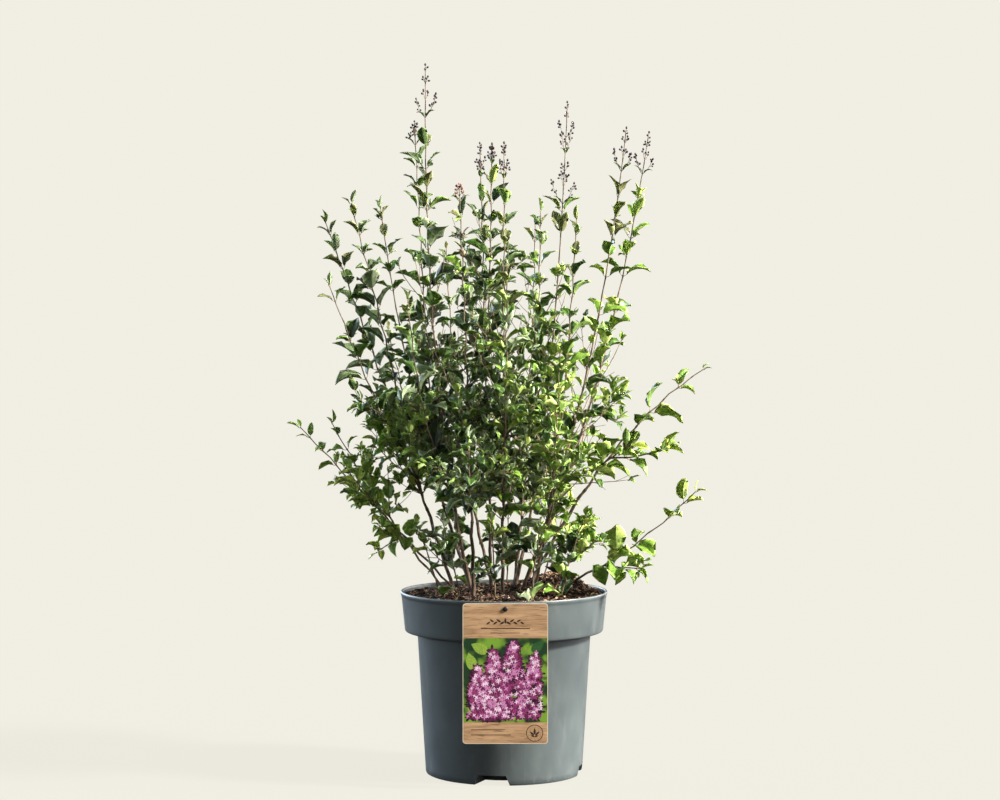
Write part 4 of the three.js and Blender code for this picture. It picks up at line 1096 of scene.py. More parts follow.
# %% Bark material
bark = Recipe("bark", rough=0.72, Specular_IOR_Level=0.35)
age = bark.value("age")
streaks = bark.noise(bark.place((260, 260, 34)), 1.0, 5.0, 0.62)
dots = bark.noise(bark.place((420, 420, 260)), 1.0, 2.0)
old = bark.blend(bark.span(streaks, 0.36, 0.66), srgb(42, 31, 25), srgb(120, 96, 74))
middle = bark.blend(bark.span(streaks, 0.3, 0.75), srgb(88, 70, 55), srgb(148, 124, 98))
green = bark.blend(bark.span(streaks, 0.3, 0.7), srgb(78, 72, 54), srgb(128, 114, 90))
coloured = bark.blend(bark.span(age, 0.12, 0.5), green, middle)
coloured = bark.blend(bark.span(age, 0.55, 0.9), coloured, old)
corky = bark.sum("MULTIPLY", bark.span(dots, 0.66, 0.74), bark.span(age, 0.2, 0.6))
coloured = bark.blend(bark.sum("MULTIPLY", corky, 0.6), coloured, srgb(168, 150, 124))
furrowed = bark.sum("MULTIPLY", streaks, bark.span(age, 0.1, 0.8, 0.25, 1))
relief = bark.sum("MULTIPLY_ADD", corky, 0.5, furrowed)
coloured = bark.blend(bark.sum("MULTIPLY", bark.value("knot"), 0.75), coloured, srgb(58, 44, 36))
bark_material = bark.use(Base_Color=coloured, Normal=bark.bump(relief, 0.6, 0.0006))
print("bark has", len(bark.tree.nodes), "shader nodes")

# %% [markdown]
# ### The bare stems
# The lowest fifth to third of each stem is a bare limb. A tapering tube with a flared foot gives the
# form, and its corners are moved in and out by the bark's furrows, grain and knots, because furrows that
# are only painted vanish at the edge of a limb. The limbs drawn here are slimmer than the solid ones,
# which need their girth to hold their twigs.

# %% The bare stems
STEM_SIDES, STEM_RINGS = 20, 110
THIN_LIMB = 2.5
THIN_SLIMNESS, SLIMNESS = 0.6, 0.84
LIMB_TOP_GIRTH = FORK_GIRTH * 1.1
LIMB_FLARE = 0.35
KNOT_SPACING = 43


def slimness(mass):
    """The share of the solid limb's girth: the thin low limbs and young shoots are slimmer still."""
    return THIN_SLIMNESS if mass["girth"] < THIN_LIMB else SLIMNESS


def limb_girth(stem, share):
    """The solid limb's straight taper times slimness, and its flare of 0.35 (1 - share)^8 at the foot."""
    taper = stem["girth"] + (LIMB_TOP_GIRTH - stem["girth"]) * share
    return taper * slimness(stem) * (1 + LIMB_FLARE * (1 - share) ** 8)


def bark_relief(share, length, seed):
    """Shares of the girth: five furrows that wander along the limb, finer grain across them, and a low
    knot at every KNOT_SPACING."""
    t = np.arange(STEM_SIDES) / STEM_SIDES * TURN
    along = (share * length)[:, None]
    furrow = np.cos(5 * t + seed + 0.9 * lumps(along / 26, t * 0 + seed)) * 0.055
    grain = lumps(np.cos(t) * 2.1 + seed, along / 7 + np.sin(t) * 2.1, seed) * 0.06
    knots = 0.1 * np.exp(-((along % KNOT_SPACING - KNOT_SPACING // 2) / 3.2) ** 2)
    return furrow + grain + knots


share = np.linspace(0, 1, STEM_RINGS)
limbs = [(s["shoots"][0][0], s["bare"]) for s in stems]
paths = np.array([on_curve(curve, share * bare) for curve, bare in limbs])
girths = np.array([limb_girth(s, share) for s in stems])
lengths = [curve_length(curve) * bare for curve, bare in limbs]
reliefs = np.array([bark_relief(share, length, s["seed"]) for s, length in zip(stems, lengths)])
corners, faces = tubes(paths, girths, STEM_SIDES, reliefs)
ages = np.repeat(np.tile(1 - 0.3 * share, len(stems)), STEM_SIDES)
stem_nodes = [n for n in NODES if n.startswith("stem_")]
make_piece("stems", corners, faces, [bark_material], stem_nodes, values={"age": ages})

# %% [markdown]
# ## Shoots and twigs
# Above the bare limbs every shoot goes on along the same curve to its tip, thinning as it goes and
# swelling a little where a leaf pair sits. Twigs and leaf stalks are the same tubes, with fewer sides.

# %% The shoots
SHOOT_SIDES, SHOOT_RINGS = 7, 150
KNOT_BELOW, KNOT_REACH, KNOT_SWELL = 8, 2.6, 0.3
share = np.linspace(0, 1, SHOOT_RINGS)
paths, girths, ages, knots = [], [], [], []
for mass in masses:
    for curve, start, girth, head in mass["shoots"]:
        length = curve_length(curve) * (1 - start)
        leafy = length - HEAD_LENGTH * head
        step = leafy / max(2, round(leafy / NODE_STEP)) / FINER
        first = (LIMB_TOP_GIRTH if start > 0 else girth) * slimness(mass)
        past_knot = (share * length - FIRST_PAIR * FINER * step + KNOT_BELOW) % step - KNOT_BELOW
        knot = np.exp(-(past_knot / KNOT_REACH) ** 2)
        paths.append(on_curve(curve, start + (1 - start) * share))
        girths.append((first + (TIP_GIRTH * 0.6 - first) * share ** 0.55) * (1 + KNOT_SWELL * knot))
        ages.append(0.66 - 0.42 * share ** 0.6)
        knots.append(knot * np.clip(1.3 - share, 0, 1))
corners, faces = tubes(np.array(paths), np.array(girths), SHOOT_SIDES)
make_piece("shoots", corners, faces, [bark_material], foliage_nodes,
           values={"age": np.repeat(np.concatenate(ages), SHOOT_SIDES),
                   "knot": np.repeat(np.concatenate(knots), SHOOT_SIDES)})

# %% [markdown]
# ### Twigs and leaf stalks
# A twig is too thin for a round section to show, so five sides are enough, and three for the stalk of a
# leaf. The stalk starts in its twig and ends a little way inside the leaf, and sags in between.

# %% The twigs
TWIG_SIDES, TWIG_RINGS = 5, 6
share = np.linspace(0, 1, TWIG_RINGS)
paths = np.array([on_curve(twig[0], share) for twig in twigs])
thick = np.array([twig[1] + (twig[2] - twig[1]) * share for twig in twigs])
ages = np.array([twig[3] - 0.12 * share for twig in twigs])
corners, faces = tubes(paths, thick, TWIG_SIDES)
make_piece("twigs", corners, faces, [bark_material], foliage_nodes,
           values={"age": np.repeat(ages.ravel(), TWIG_SIDES)})

# %% The leaf stalks
STALK_OVERLAP, STALK_SAG = 2, 0.5
STALK_GIRTHS = 0.5 * np.array([1, 0.8, 0.6])
STALK_SIDES = 3
stalk_green = Recipe("stalk", srgb(112, 122, 66), 0.5)
tint = stalk_green.span(stalk_green.noise(stalk_green.place(), 60.0), 0.4, 0.65)
stalk_material = stalk_green.use(Base_Color=stalk_green.blend(tint, srgb(104, 116, 58), srgb(132, 96, 66)))
start, heading = leaves[:, 1:4], leaves[:, 4:7]
reach = PETIOLE * np.minimum(leaves[:, 7:8], 1) + STALK_OVERLAP
paths = start[:, None] + heading[:, None] * (np.linspace(0, 1, 3)[None, :, None] * reach[:, None])
paths[:, 1, 2] -= STALK_SAG
corners, faces = tubes(paths, np.tile(STALK_GIRTHS, (len(leaves), 1)), STALK_SIDES)
make_piece("leaf_stalks", corners, faces, [stalk_material], foliage_nodes)

# %% [markdown]
# ## Closed flower buds
# The heads have not opened yet. Each bud is a small dark spindle, purple-brown, on a thread of a
# stalk. A spindle is a profile turned about its own line, and all of them are made in one array. One
# head has dried up, and its buds are pale brown.

# %% The buds
BUD_SIDES, BUD_LENGTH, BUD_GIRTH = 6, 5.0, 1.45
BUD_PROFILE = np.array([(0, 0.16), (0.3, 0.18), (0.42, 0.7), (0.62, 1.0), (0.84, 0.72), (1, 0.12)])
BRACT_RATIO = 0.34
rows = np.array(buds, float)
reach = BUD_PROFILE[None, :, :1] * BUD_LENGTH * rows[:, None, 6:7]
paths = rows[:, None, :3] + rows[:, None, 3:6] * reach
girths = BUD_PROFILE[None, :, 1] * BUD_GIRTH * rows[:, 6:7]


def bud_material(name, dark, light):
    """Two colours in small blotches, with a soft gloss."""
    r = Recipe(name, rough=0.5, Specular_IOR_Level=0.4)
    blush = r.span(r.noise(r.place(), 420.0), 0.38, 0.66)
    return r.use(Base_Color=r.blend(blush, dark, light), Normal=r.bump(blush, 0.3, 0.0003))


for name, dry, dark, light in (("flower_buds", 0, srgb(26, 14, 17), srgb(68, 40, 46)),
                               ("dry_buds", 1, srgb(92, 56, 44), srgb(150, 104, 84))):
    chosen = rows[:, 7] == dry
    corners, faces = tubes(paths[chosen], girths[chosen], BUD_SIDES)
    make_piece(name, corners, faces, [bud_material(name, dark, light)], foliage_nodes)
make_leaves("bracts", np.array(bracts, float), "deep", BRACT_RATIO)

# %% [markdown]
# ## The pot
# A nursery pot is blow-moulded: one thin wall, a deep collar that makes it stiff, and four low arches
# at the foot that let water out. Turning a profile gives the wall. The arches are made in the same
# grid: their columns follow a second profile, which stays further in up to the arch's height, and the
# columns at an arch's edge are doubled so that its cheeks stand straight.

# %% Pot profiles
FOOT_RADIUS, BODY_TOP, COLLAR_FOOT = 110, 121.5, 139
COLLAR_DEPTH = 56
SHELF = POT_HEIGHT - COLLAR_DEPTH
PAN_RADIUS, PAN_TOP = 60, 17
FILLET = 2.2
ARCHES, FIRST_ARCH = 4, math.radians(-99)
ARCH_TOP, ARCH_DEPTH, ARCH_LOW_HALF, ARCH_HIGH_HALF = 14, 42, 25, 19.5


def filleted(points, radius, steps=4):
    """Round each corner of an open line: a quadratic arc between points set back along both legs."""
    points = np.asarray(points, float)
    line = [points[0]]
    for before, corner, after in zip(points, points[1:], points[2:]):
        back = [corner + unit(end - corner) * min(radius, 0.45 * np.linalg.norm(end - corner))
                for end in (before, after)]
        s = np.linspace(0, 1, steps + 1)[:, None]
        line.extend((1 - s) ** 2 * back[0] + 2 * s * (1 - s) * corner + s ** 2 * back[1])
    return np.array([*line, points[-1]])


def wall_radius(z):
    """The body's outer radius at a height: a straight taper from the foot to below the shelf."""
    return FOOT_RADIUS + (BODY_TOP - FOOT_RADIUS) * (z - 3) / (SHELF - 6)


print("pot across its rim and its foot:", round(2 * RIM_RADIUS), "and", 2 * FOOT_RADIUS, "mm")

# %% Pot profile rows
inner_end = FOOT_RADIUS - ARCH_DEPTH
foot_rows = [((0.0, 0.0), (0.0, 0.0)), ((PAN_RADIUS, 0.0), (PAN_RADIUS, 0.0)),
             ((inner_end, 0.0), (inner_end, 0.0)), ((FOOT_RADIUS - 3, 0.0), (inner_end, 1.0)),
             ((FOOT_RADIUS - 1, 0.9), (inner_end, 3.0)), ((FOOT_RADIUS, 3.0), (inner_end, 6.0)),
             ((wall_radius(9), 9.0), (inner_end, 10.0)),
             ((wall_radius(ARCH_TOP - 0.6), ARCH_TOP - 0.6), (inner_end, ARCH_TOP - 0.01))]
outside = [(wall_radius(ARCH_TOP), ARCH_TOP), (BODY_TOP, SHELF - 3), (COLLAR_FOOT - 0.6, SHELF),
           (COLLAR_FOOT + 0.2, SHELF + 3), (RIM_RADIUS - 1.2, POT_HEIGHT - 7), (RIM_RADIUS, POT_HEIGHT - 4),
           (RIM_RADIUS, POT_HEIGHT)]
inside = [(RIM_RADIUS - POT_WALL - 0.8, POT_HEIGHT), (RIM_RADIUS - POT_WALL - 1, POT_HEIGHT - 5),
          (COLLAR_FOOT - POT_WALL, SHELF + POT_WALL), (BODY_TOP - POT_WALL, SHELF - 1),
          (wall_radius(30) - POT_WALL, 30)]
wall = [*map(tuple, filleted(outside + inside, FILLET))]
closing = [(wall_radius(20) - POT_WALL, 20.0), (inner_end - 4, PAN_TOP), (0.0, PAN_TOP)]
plain = np.array([row[0] for row in foot_rows] + wall + closing)
arched = np.array([row[1] for row in foot_rows] + wall + closing)
print("pot profile has", len(plain), "rows")

# %% Pot surface
ARCH_COLUMNS, WALL_COLUMNS = 8, 40
half = np.interp(plain[:, 1], [0, ARCH_TOP], [ARCH_LOW_HALF, ARCH_HIGH_HALF])
half_angle = np.arcsin(half / FOOT_RADIUS)[:, None]
angles, is_arch = [], []
for arch in range(ARCHES):
    centre = FIRST_ARCH + arch / ARCHES * TURN
    across = np.linspace(-1, 1, ARCH_COLUMNS + 1)[None]
    angles.append(centre + half_angle * across)
    s = np.linspace(0, 1, WALL_COLUMNS + 1)[None]
    angles.append(centre + half_angle + (TURN / ARCHES - 2 * half_angle) * s)
    is_arch += [True] * (ARCH_COLUMNS + 1) + [False] * (WALL_COLUMNS + 1)
angles = np.concatenate(angles, axis=1)
is_arch = np.array(is_arch)[None]
radius = np.where(is_arch, arched[:, :1], plain[:, :1])
height = np.where(is_arch, arched[:, 1:], plain[:, 1:])
corners = np.stack([radius * np.cos(angles), radius * np.sin(angles), height], axis=-1)
faces = grid_faces(len(plain), angles.shape[1], wrap=True)
print("pot surface has", angles.shape[1], "columns")

# %% [markdown]
# ### Recycled plastic
# The pot is dark recycled plastic with a satin gloss. It is a little cloudy, dusty in places, and
# specked with soil, most of all near the foot. The mould's four seams are hardly raised. The gloss and
# the key light make one side pale and leave the other dark, and nothing of that is painted.

# %% The pot
SEAM_TURN, SEAM_SPACING = 1.32, TURN / 4
plastic = Recipe("pot_plastic", rough=0.38, Specular_IOR_Level=0.85)
where = plastic.place()
cloud = plastic.noise(where, 9.0, 4.0, 0.6)
dust = plastic.noise(plastic.place((60, 60, 22)), 1.0, 6.0, 0.7)
grit = plastic.noise(where, 900.0, 2.0)
apart = plastic.node("ShaderNodeSeparateXYZ", {0: where})
near_foot = plastic.span(apart.outputs[2], 0.0, 0.07, 1.0, 0.0)
shade = plastic.blend(plastic.span(cloud, 0.35, 0.7), srgb(62, 69, 70), srgb(73, 81, 81))
dust_amount = plastic.sum("MULTIPLY_ADD", near_foot, 0.08, 0.12)
dusty = plastic.sum("MULTIPLY", plastic.span(dust, 0.52, 0.8), dust_amount)
shade = plastic.blend(dusty, shade, srgb(138, 136, 126))
speck_amount = plastic.sum("MULTIPLY_ADD", near_foot, 0.5, 0.15)
specks = plastic.sum("MULTIPLY", plastic.span(grit, 0.74, 0.78), speck_amount)
shade = plastic.blend(specks, shade, srgb(48, 38, 30))
angle = plastic.sum("ARCTAN2", apart.outputs[1], apart.outputs[0])
from_seam = plastic.sum("PINGPONG", plastic.sum("ADD", angle, SEAM_TURN), SEAM_SPACING / 2)
seam = plastic.span(from_seam, 0.0, 0.006, 1.0, 0.0)
raised = plastic.sum("ADD", plastic.sum("MULTIPLY", seam, 0.35), plastic.sum("MULTIPLY", grit, 0.06))
pot_material = plastic.use(Base_Color=shade, Roughness=plastic.span(dust, 0.3, 0.8, 0.36, 0.52),
                           Normal=plastic.bump(raised, 0.35, 0.0005))
pot = make_piece("pot_shell", corners.reshape(-1, 3), [faces], [pot_material], ["pot"])
sharpen(weld(pot), 35)

# %% [markdown]
# ## Compost
# Potting compost is crumbs of dark peat with chips of bark and pale fibres. The surface is a polar grid
# raised by two scales of lumps. What gives it its look is the loose stuff on top: thousands of small
# flat chips, each a box of six faces pulled out of shape, and thin bent fibres.

# %% Compost body
COMPOST_ROWS, COMPOST_COLUMNS = 80, 220
edge = RIM_RADIUS - POT_WALL - 1.6
top_radius = edge * np.linspace(0, 1, COMPOST_ROWS) ** 0.85
turns = np.arange(COMPOST_COLUMNS) / COMPOST_COLUMNS * TURN
x, y = top_radius[:, None] * np.cos(turns), top_radius[:, None] * np.sin(turns)


def crumbs(x, y):
    """Three scales of lumps, in millimetres, which calm down at the wall."""
    calm = 1 - np.minimum(1, np.hypot(x, y) / edge) ** 10
    coarse, middling = 2.0 * lumps(x / 13, y / 13, 1), 1.3 * lumps(x / 5, y / 5, 2)
    return calm * (coarse + middling + 0.8 * lumps(x / 2.3, y / 2.3, 3))


z = ground(x, y) + crumbs(x, y)
skirt = [(edge - 6, SHELF + 6), (BODY_TOP - 5, SHELF - 4), (BODY_TOP - 12, 60), (0, 60)]
rings = [np.stack([r * np.cos(turns), r * np.sin(turns), 0 * turns + h], axis=-1) for r, h in skirt]
corners = np.concatenate([np.stack([x, y, z], axis=-1), rings])
faces = grid_faces(len(corners), COMPOST_COLUMNS, wrap=True)[:, ::-1]
peat = Recipe("compost", rough=0.95, Specular_IOR_Level=0.2)
where = peat.place()
crumb = peat.noise(where, 240.0, 5.0, 0.7)
patch = peat.noise(where, 60.0, 3.0)
shade = peat.blend(peat.span(crumb, 0.35, 0.68), srgb(20, 14, 11), srgb(60, 44, 34))
shade = peat.blend(peat.span(patch, 0.42, 0.68, 0, 0.6), shade, srgb(58, 40, 30))
peat_material = peat.use(Base_Color=shade, Normal=peat.bump(crumb, 0.9, 0.0016))
corners = corners.reshape(-1, 3)
weld(make_piece("compost_surface", corners, [faces], [peat_material], ["compost"]))

# %% Chips of bark
BOX = np.array([(x, y, z) for z in (-1, 1) for y in (-1, 1) for x in (-1, 1)], float)
BOX_FACES = np.array([(0, 2, 3, 1), (4, 5, 7, 6), (0, 1, 5, 4), (2, 6, 7, 3), (0, 4, 6, 2), (1, 3, 7, 5)])


def chips(name, count, seed, longest, material):
    """Boxes scattered evenly over the compost, longer than wide, each corner moved a little. Each is
    tipped, then spun upright: (x cos - z sin, y, x sin + z cos), then the same in x and y."""
    number = np.arange(count)
    r, t = (edge - 3) * np.sqrt(chance(seed, number)), chance(seed + 1, number) * TURN
    x, y = r * np.cos(t), r * np.sin(t)
    size = longest * (0.25 + 0.75 * chance(seed + 2, number) ** 2)[:, None] * np.array([0.5, 0.27, 0.12])
    corners = BOX[None] * size[:, None]
    corners *= between(seed + 3, np.arange(count * 24).reshape(count, 8, 3), 0.55, 1.25)
    spin, tip = chance(seed + 4, number) * TURN, between(seed + 5, number, -0.6, 0.6)
    cos_t, sin_t = np.cos(tip)[:, None], np.sin(tip)[:, None]
    cos_s, sin_s = np.cos(spin)[:, None], np.sin(spin)[:, None]
    across = corners[..., 0] * cos_t - corners[..., 2] * sin_t
    upward = corners[..., 0] * sin_t + corners[..., 2] * cos_t
    beside = corners[..., 1]
    height = (ground(x, y) + crumbs(x, y) + 0.25 * size[:, 0])[:, None]
    spun_x, spun_y = across * cos_s - beside * sin_s, across * sin_s + beside * cos_s
    placed = np.stack([x[:, None] + spun_x, y[:, None] + spun_y, height + upward], -1)
    faces = (BOX_FACES[None] + (number * 8)[:, None, None]).reshape(-1, 4)
    piece = make_piece(name, placed.reshape(-1, 3), [faces], [material], ["compost"])
    return sharpen(piece, 30)


print("a chip has", len(BOX_FACES), "faces")


# %% Three kinds of chips
def chip_material(name, dark, light):
    """Two browns in fine grain, pressed in by bump."""
    r = Recipe(name, rough=0.85, Specular_IOR_Level=0.25)
    grain = r.noise(r.place((500, 500, 500)), 1.0, 3.0)
    colour = r.blend(r.span(grain, 0.35, 0.65), dark, light)
    return r.use(Base_Color=colour, Normal=r.bump(grain, 0.5, 0.0006))


chips("chips_dark", 4200, 41, 8, chip_material("chip_dark", srgb(18, 13, 10), srgb(48, 34, 26)))
chips("chips_brown", 1500, 53, 9, chip_material("chip_brown", srgb(62, 40, 30), srgb(108, 78, 60)))
chips("chips_tan", 800, 67, 8, chip_material("chip_tan", srgb(138, 108, 86), srgb(200, 172, 144)))

# %% [markdown]
# ### Fibres
# Coir and root fibres lie among the chips. Each is a thin tube along a bent line, s (reach) one way and
# bow (s^2 - 1/4) square to it, and it arches up a little from the crumbs at its middle.

# %% Fibres
FIBRES, FIBRE_RINGS, FIBRE_SIDES, FIBRE_GIRTH = 420, 7, 4, 0.34
number = np.arange(FIBRES)
r, t = (edge - 10) * np.sqrt(chance(81, number)), chance(82, number) * TURN
x, y = r * np.cos(t), r * np.sin(t)
spin, reach = chance(83, number) * TURN, between(84, number, 5, 15)
s = np.linspace(-0.5, 0.5, FIBRE_RINGS)[None]
bow = between(85, number, -0.5, 0.5)[:, None] * (s ** 2 - 0.25) * reach[:, None]
px = x[:, None] + s * (reach * np.cos(spin))[:, None] - bow * np.sin(spin)[:, None]
py = y[:, None] + s * (reach * np.sin(spin))[:, None] + bow * np.cos(spin)[:, None]
pz = ground(px, py) + crumbs(px, py) + 1.2 + 1.5 * (0.25 - s ** 2) * 4 * chance(86, number)[:, None]
corners, faces = tubes(np.stack([px, py, pz], -1), np.full((FIBRES, FIBRE_RINGS), FIBRE_GIRTH), FIBRE_SIDES)
fibre_material = chip_material("fibre", srgb(142, 108, 76), srgb(198, 168, 128))
make_piece("fibres", corners, faces, [fibre_material], ["compost"])

# %% [markdown]
# ## The care label
# The label is a printed plastic card with round corners, pegged to the collar. Bands like planed wood
# run along its head and foot, and between them is a printed picture. Here the picture is a plain
# pattern of flower plumes and leaves. The prints are thin pieces that lie just proud of the card.

# %% Label card
label_low, label_high = (np.array(corner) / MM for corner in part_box("label"))
peg_low, peg_high = (np.array(corner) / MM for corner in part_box("label_peg"))
LABEL_FACE = label_low[1]
CORNER = 4.5


def round_box(left, low, right, high, corner_radius, which=(1, 1, 1, 1), steps=6):
    """A box outline in x and z with arcs at the chosen corners, counter-clockwise from the low left."""
    points = []
    places = ((left, low, 2), (right, low, 3), (right, high, 0), (left, high, 1))
    for number, (cx, cz, first) in enumerate(places):
        r = corner_radius * which[number] + 1e-3
        t = (first + np.linspace(0, 1, steps)) * TURN / 4
        inx, inz = (1 if cx == left else -1), (1 if cz == low else -1)
        points.append(np.stack([cx + inx * r + r * np.cos(t), cz + inz * r + r * np.sin(t)], -1))
    return np.concatenate(points)


def slab(name, outline, front, back, materials, nodes=()):
    """An outline in x and z, filled at the front and back and joined by a rim."""
    count = len(outline)
    ring = lambda y: np.stack([outline[:, 0], np.full(count, y), outline[:, 1]], -1)
    number = np.arange(count)
    rim = np.stack([number, number + count, (number + 1) % count + count, (number + 1) % count], -1)
    ends = np.stack([number, number[::-1] + count])
    corners = np.concatenate([ring(front), ring(back)])
    piece = make_piece(name, corners, [ends, rim], materials, nodes)
    return sharpen(weld(piece), 40)


card = Recipe("label_card", srgb(208, 194, 172), 0.42)
card_material = card.use(Normal=card.bump(card.noise(card.place(), 300.0), 0.05, 0.0003))
left, low, right, high = label_low[0], label_low[2], label_high[0], label_high[2]
outline = round_box(left, low, right, high, CORNER)
PRINT = 0.02
slab("label_card", outline, LABEL_FACE + 9 * PRINT, label_high[1], [card_material], ["label"])

# %% [markdown]
# ### Bands and background
# The head and foot of the card are printed like planed wood: long grain, finer rays across it and a few
# knots, all noise that is stretched along the card. The picture's background is a blurred hedge. Each is
# a thin slab of its own, so that its edge is crisp from any distance.

# %% Printed bands and picture
wood = Recipe("printed_wood", rough=0.4)
grain = wood.noise(wood.place((14, 1, 130)), 1.0, 6.0, 0.65)
rays = wood.noise(wood.place((50, 1, 800)), 1.0, 3.0)
knots = wood.noise(wood.place((26, 1, 34)), 1.0, 2.0)
plank = wood.blend(wood.span(grain, 0.3, 0.72), srgb(192, 156, 118), srgb(150, 116, 84))
plank = wood.blend(wood.span(rays, 0.52, 0.7, 0, 0.8), plank, srgb(104, 74, 52))
plank = wood.blend(wood.span(knots, 0.66, 0.8, 0, 0.6), plank, srgb(108, 76, 54))
wood_material = wood.use(Base_Color=plank)
MARGIN = 0.9
HEAD_BAND, FOOT_BAND = high - 47, low + 29
SIDES = left + MARGIN, right - MARGIN
FRONT, BACK = LABEL_FACE + 7 * PRINT, LABEL_FACE + 10 * PRINT
head_line = round_box(SIDES[0], HEAD_BAND, SIDES[1], high - MARGIN, CORNER - 0.5, (0, 0, 1, 1))
foot_line = round_box(SIDES[0], low + MARGIN, SIDES[1], FOOT_BAND, CORNER - 0.5, (1, 1, 0, 0))
picture_line = round_box(SIDES[0], FOOT_BAND, SIDES[1], HEAD_BAND, 0)
slab("label_head", head_line, FRONT, BACK, [wood_material])
slab("label_foot", foot_line, FRONT, BACK, [wood_material])
hedge = Recipe("printed_hedge", rough=0.4)
blotch = hedge.noise(hedge.place(), 34.0, 2.0)
spots = hedge.noise(hedge.place(), 90.0, 1.0)
shade = hedge.blend(hedge.span(blotch, 0.42, 0.6), srgb(24, 52, 28), srgb(112, 150, 48))
shade = hedge.blend(hedge.span(spots, 0.56, 0.7, 0, 0.7), shade, srgb(18, 36, 28))
slab("label_picture", picture_line, FRONT, BACK, [hedge.use(Base_Color=shade)])

# %% [markdown]
# ### Stamping a print
# The printed motifs are many copies of a few flat shapes: a floret with four petals, a leaf blade, a
# disc and a rule. A pattern of nodes could draw them, but a shape's own outline stays sharp however near
# one looks. Each layer of ink lies a fiftieth of a millimetre in front of the last.


# %% Printed shapes
def stamp(name, shape, centres, sizes, turns, layer, material):
    """Copies of one flat outline (x, z), turned and scaled. Each is closed: fans from a middle point at
    the front and from another at the back meet in the outline, a print's thickness apart."""
    c, s = np.cos(turns)[:, None], np.sin(turns)[:, None]
    x = centres[:, :1] + sizes[:, None] * (shape[None, :, 0] * c - shape[None, :, 1] * s)
    z = centres[:, 1:] + sizes[:, None] * (shape[None, :, 0] * s + shape[None, :, 1] * c)
    front = LABEL_FACE + layer * PRINT
    ring = np.stack([x, np.full_like(x, front + PRINT / 2), z], -1)
    hubs = np.stack([x.mean(1), np.full(len(x), front), z.mean(1)], -1)[:, None]
    corners = np.concatenate([ring, hubs, hubs + (0, PRINT, 0)], axis=1)
    count = shape.shape[0]
    number = np.arange(count)
    ahead = np.stack([number, (number + 1) % count, np.full(count, count)], -1)
    behind = np.stack([(number + 1) % count, number, np.full(count, count + 1)], -1)
    shift = (np.arange(len(x)) * (count + 2))[:, None, None]
    faces = (np.concatenate([ahead, behind])[None] + shift).reshape(-1, 3)
    return sharpen(make_piece(name, corners.reshape(-1, 3), [faces], [material], ["label"]), 40)


def ink(name, colour):
    """A printed colour that darkens to 0.6 of itself in small blotches."""
    r = Recipe(name, colour, 0.4)
    tint = r.span(r.noise(r.place(), 700.0), 0.35, 0.7)
    return r.use(Base_Color=r.blend(tint, colour, tuple(c * 0.6 for c in colour[:3]) + (1,)))


def petals():
    """A floret of four narrow petals. Each has a notch, two shoulders and a tip, as angle and radius."""
    petal = np.radians([-45, -15, 0, 15])
    t = (petal[None] + np.arange(4)[:, None] * TURN / 4).ravel()
    r = np.tile([0.26, 0.74, 1.0, 0.74], 4)
    return np.stack([r * np.cos(t), r * np.sin(t)], -1)


print("a floret has", len(petals()), "corners")

# %% [markdown]
# ### Plumes of florets
# The generic picture is four leaning plumes of florets. A floret's place is its plume's foot plus its
# rise along the plume, and a spread sideways that narrows to the tip. Dark inks are printed first and
# large, pale ones last and small, which gives the plumes their depth.

# %% Printed plumes
PLUMES = np.array([(0.24, 0.0, 0.17, 0.62, 0.2), (0.42, 0.0, 0.36, 0.84, 0.22),
                   (0.56, 0.0, 0.6, 0.96, 0.22), (0.74, 0.02, 0.86, 0.78, 0.18)])
FLORETS = 380
INK_STEPS = [0.3, 0.56, 0.76, 0.9]
INKS = (("wine", srgb(52, 14, 38), 7.0), ("plum", srgb(104, 30, 76), 5.2),
        ("magenta", srgb(150, 58, 112), 4.4), ("pink", srgb(206, 136, 182), 3.6),
        ("blush", srgb(240, 212, 230), 2.8))
width, tall = right - left, HEAD_BAND - FOOT_BAND
number = np.arange(FLORETS * len(PLUMES))
foot_x, foot_z, tip_x, tip_z, spread = PLUMES[number % len(PLUMES)].T
rise = chance(5, number) ** 0.9
taper = (1 - rise) ** 0.6 * (0.6 + 0.4 * np.minimum(1, rise * 5))
x = left + width * (foot_x + (tip_x - foot_x) * rise + spread * taper * between(9, number, -1, 1))
z = FOOT_BAND + tall * (foot_z + (tip_z - foot_z) * rise + 0.06 * between(7, number, -1, 1))
inside = (np.abs(x - (left + right) / 2) < width / 2 - 6) & (z > FOOT_BAND + 5) & (z < HEAD_BAND - 5)
kind = np.digitize(chance(15, number), INK_STEPS)
for layer, (name, colour, size) in enumerate(INKS):
    chosen = inside & (kind == layer)
    stamp("label_florets_" + name, petals(), np.stack([x, z], -1)[chosen],
          size * between(13, number, 0.75, 1.2)[chosen], chance(3, number)[chosen] * TURN, 4 - layer,
          ink("ink_" + name, colour))

# %% [markdown]
# ### Printed leaves, rules and a seal
# Leaves of the same outline as the bush's lie round the plumes. Instead of words, the bands have plain
# rules, a garland of small leaves, and a round seal with a sprig.

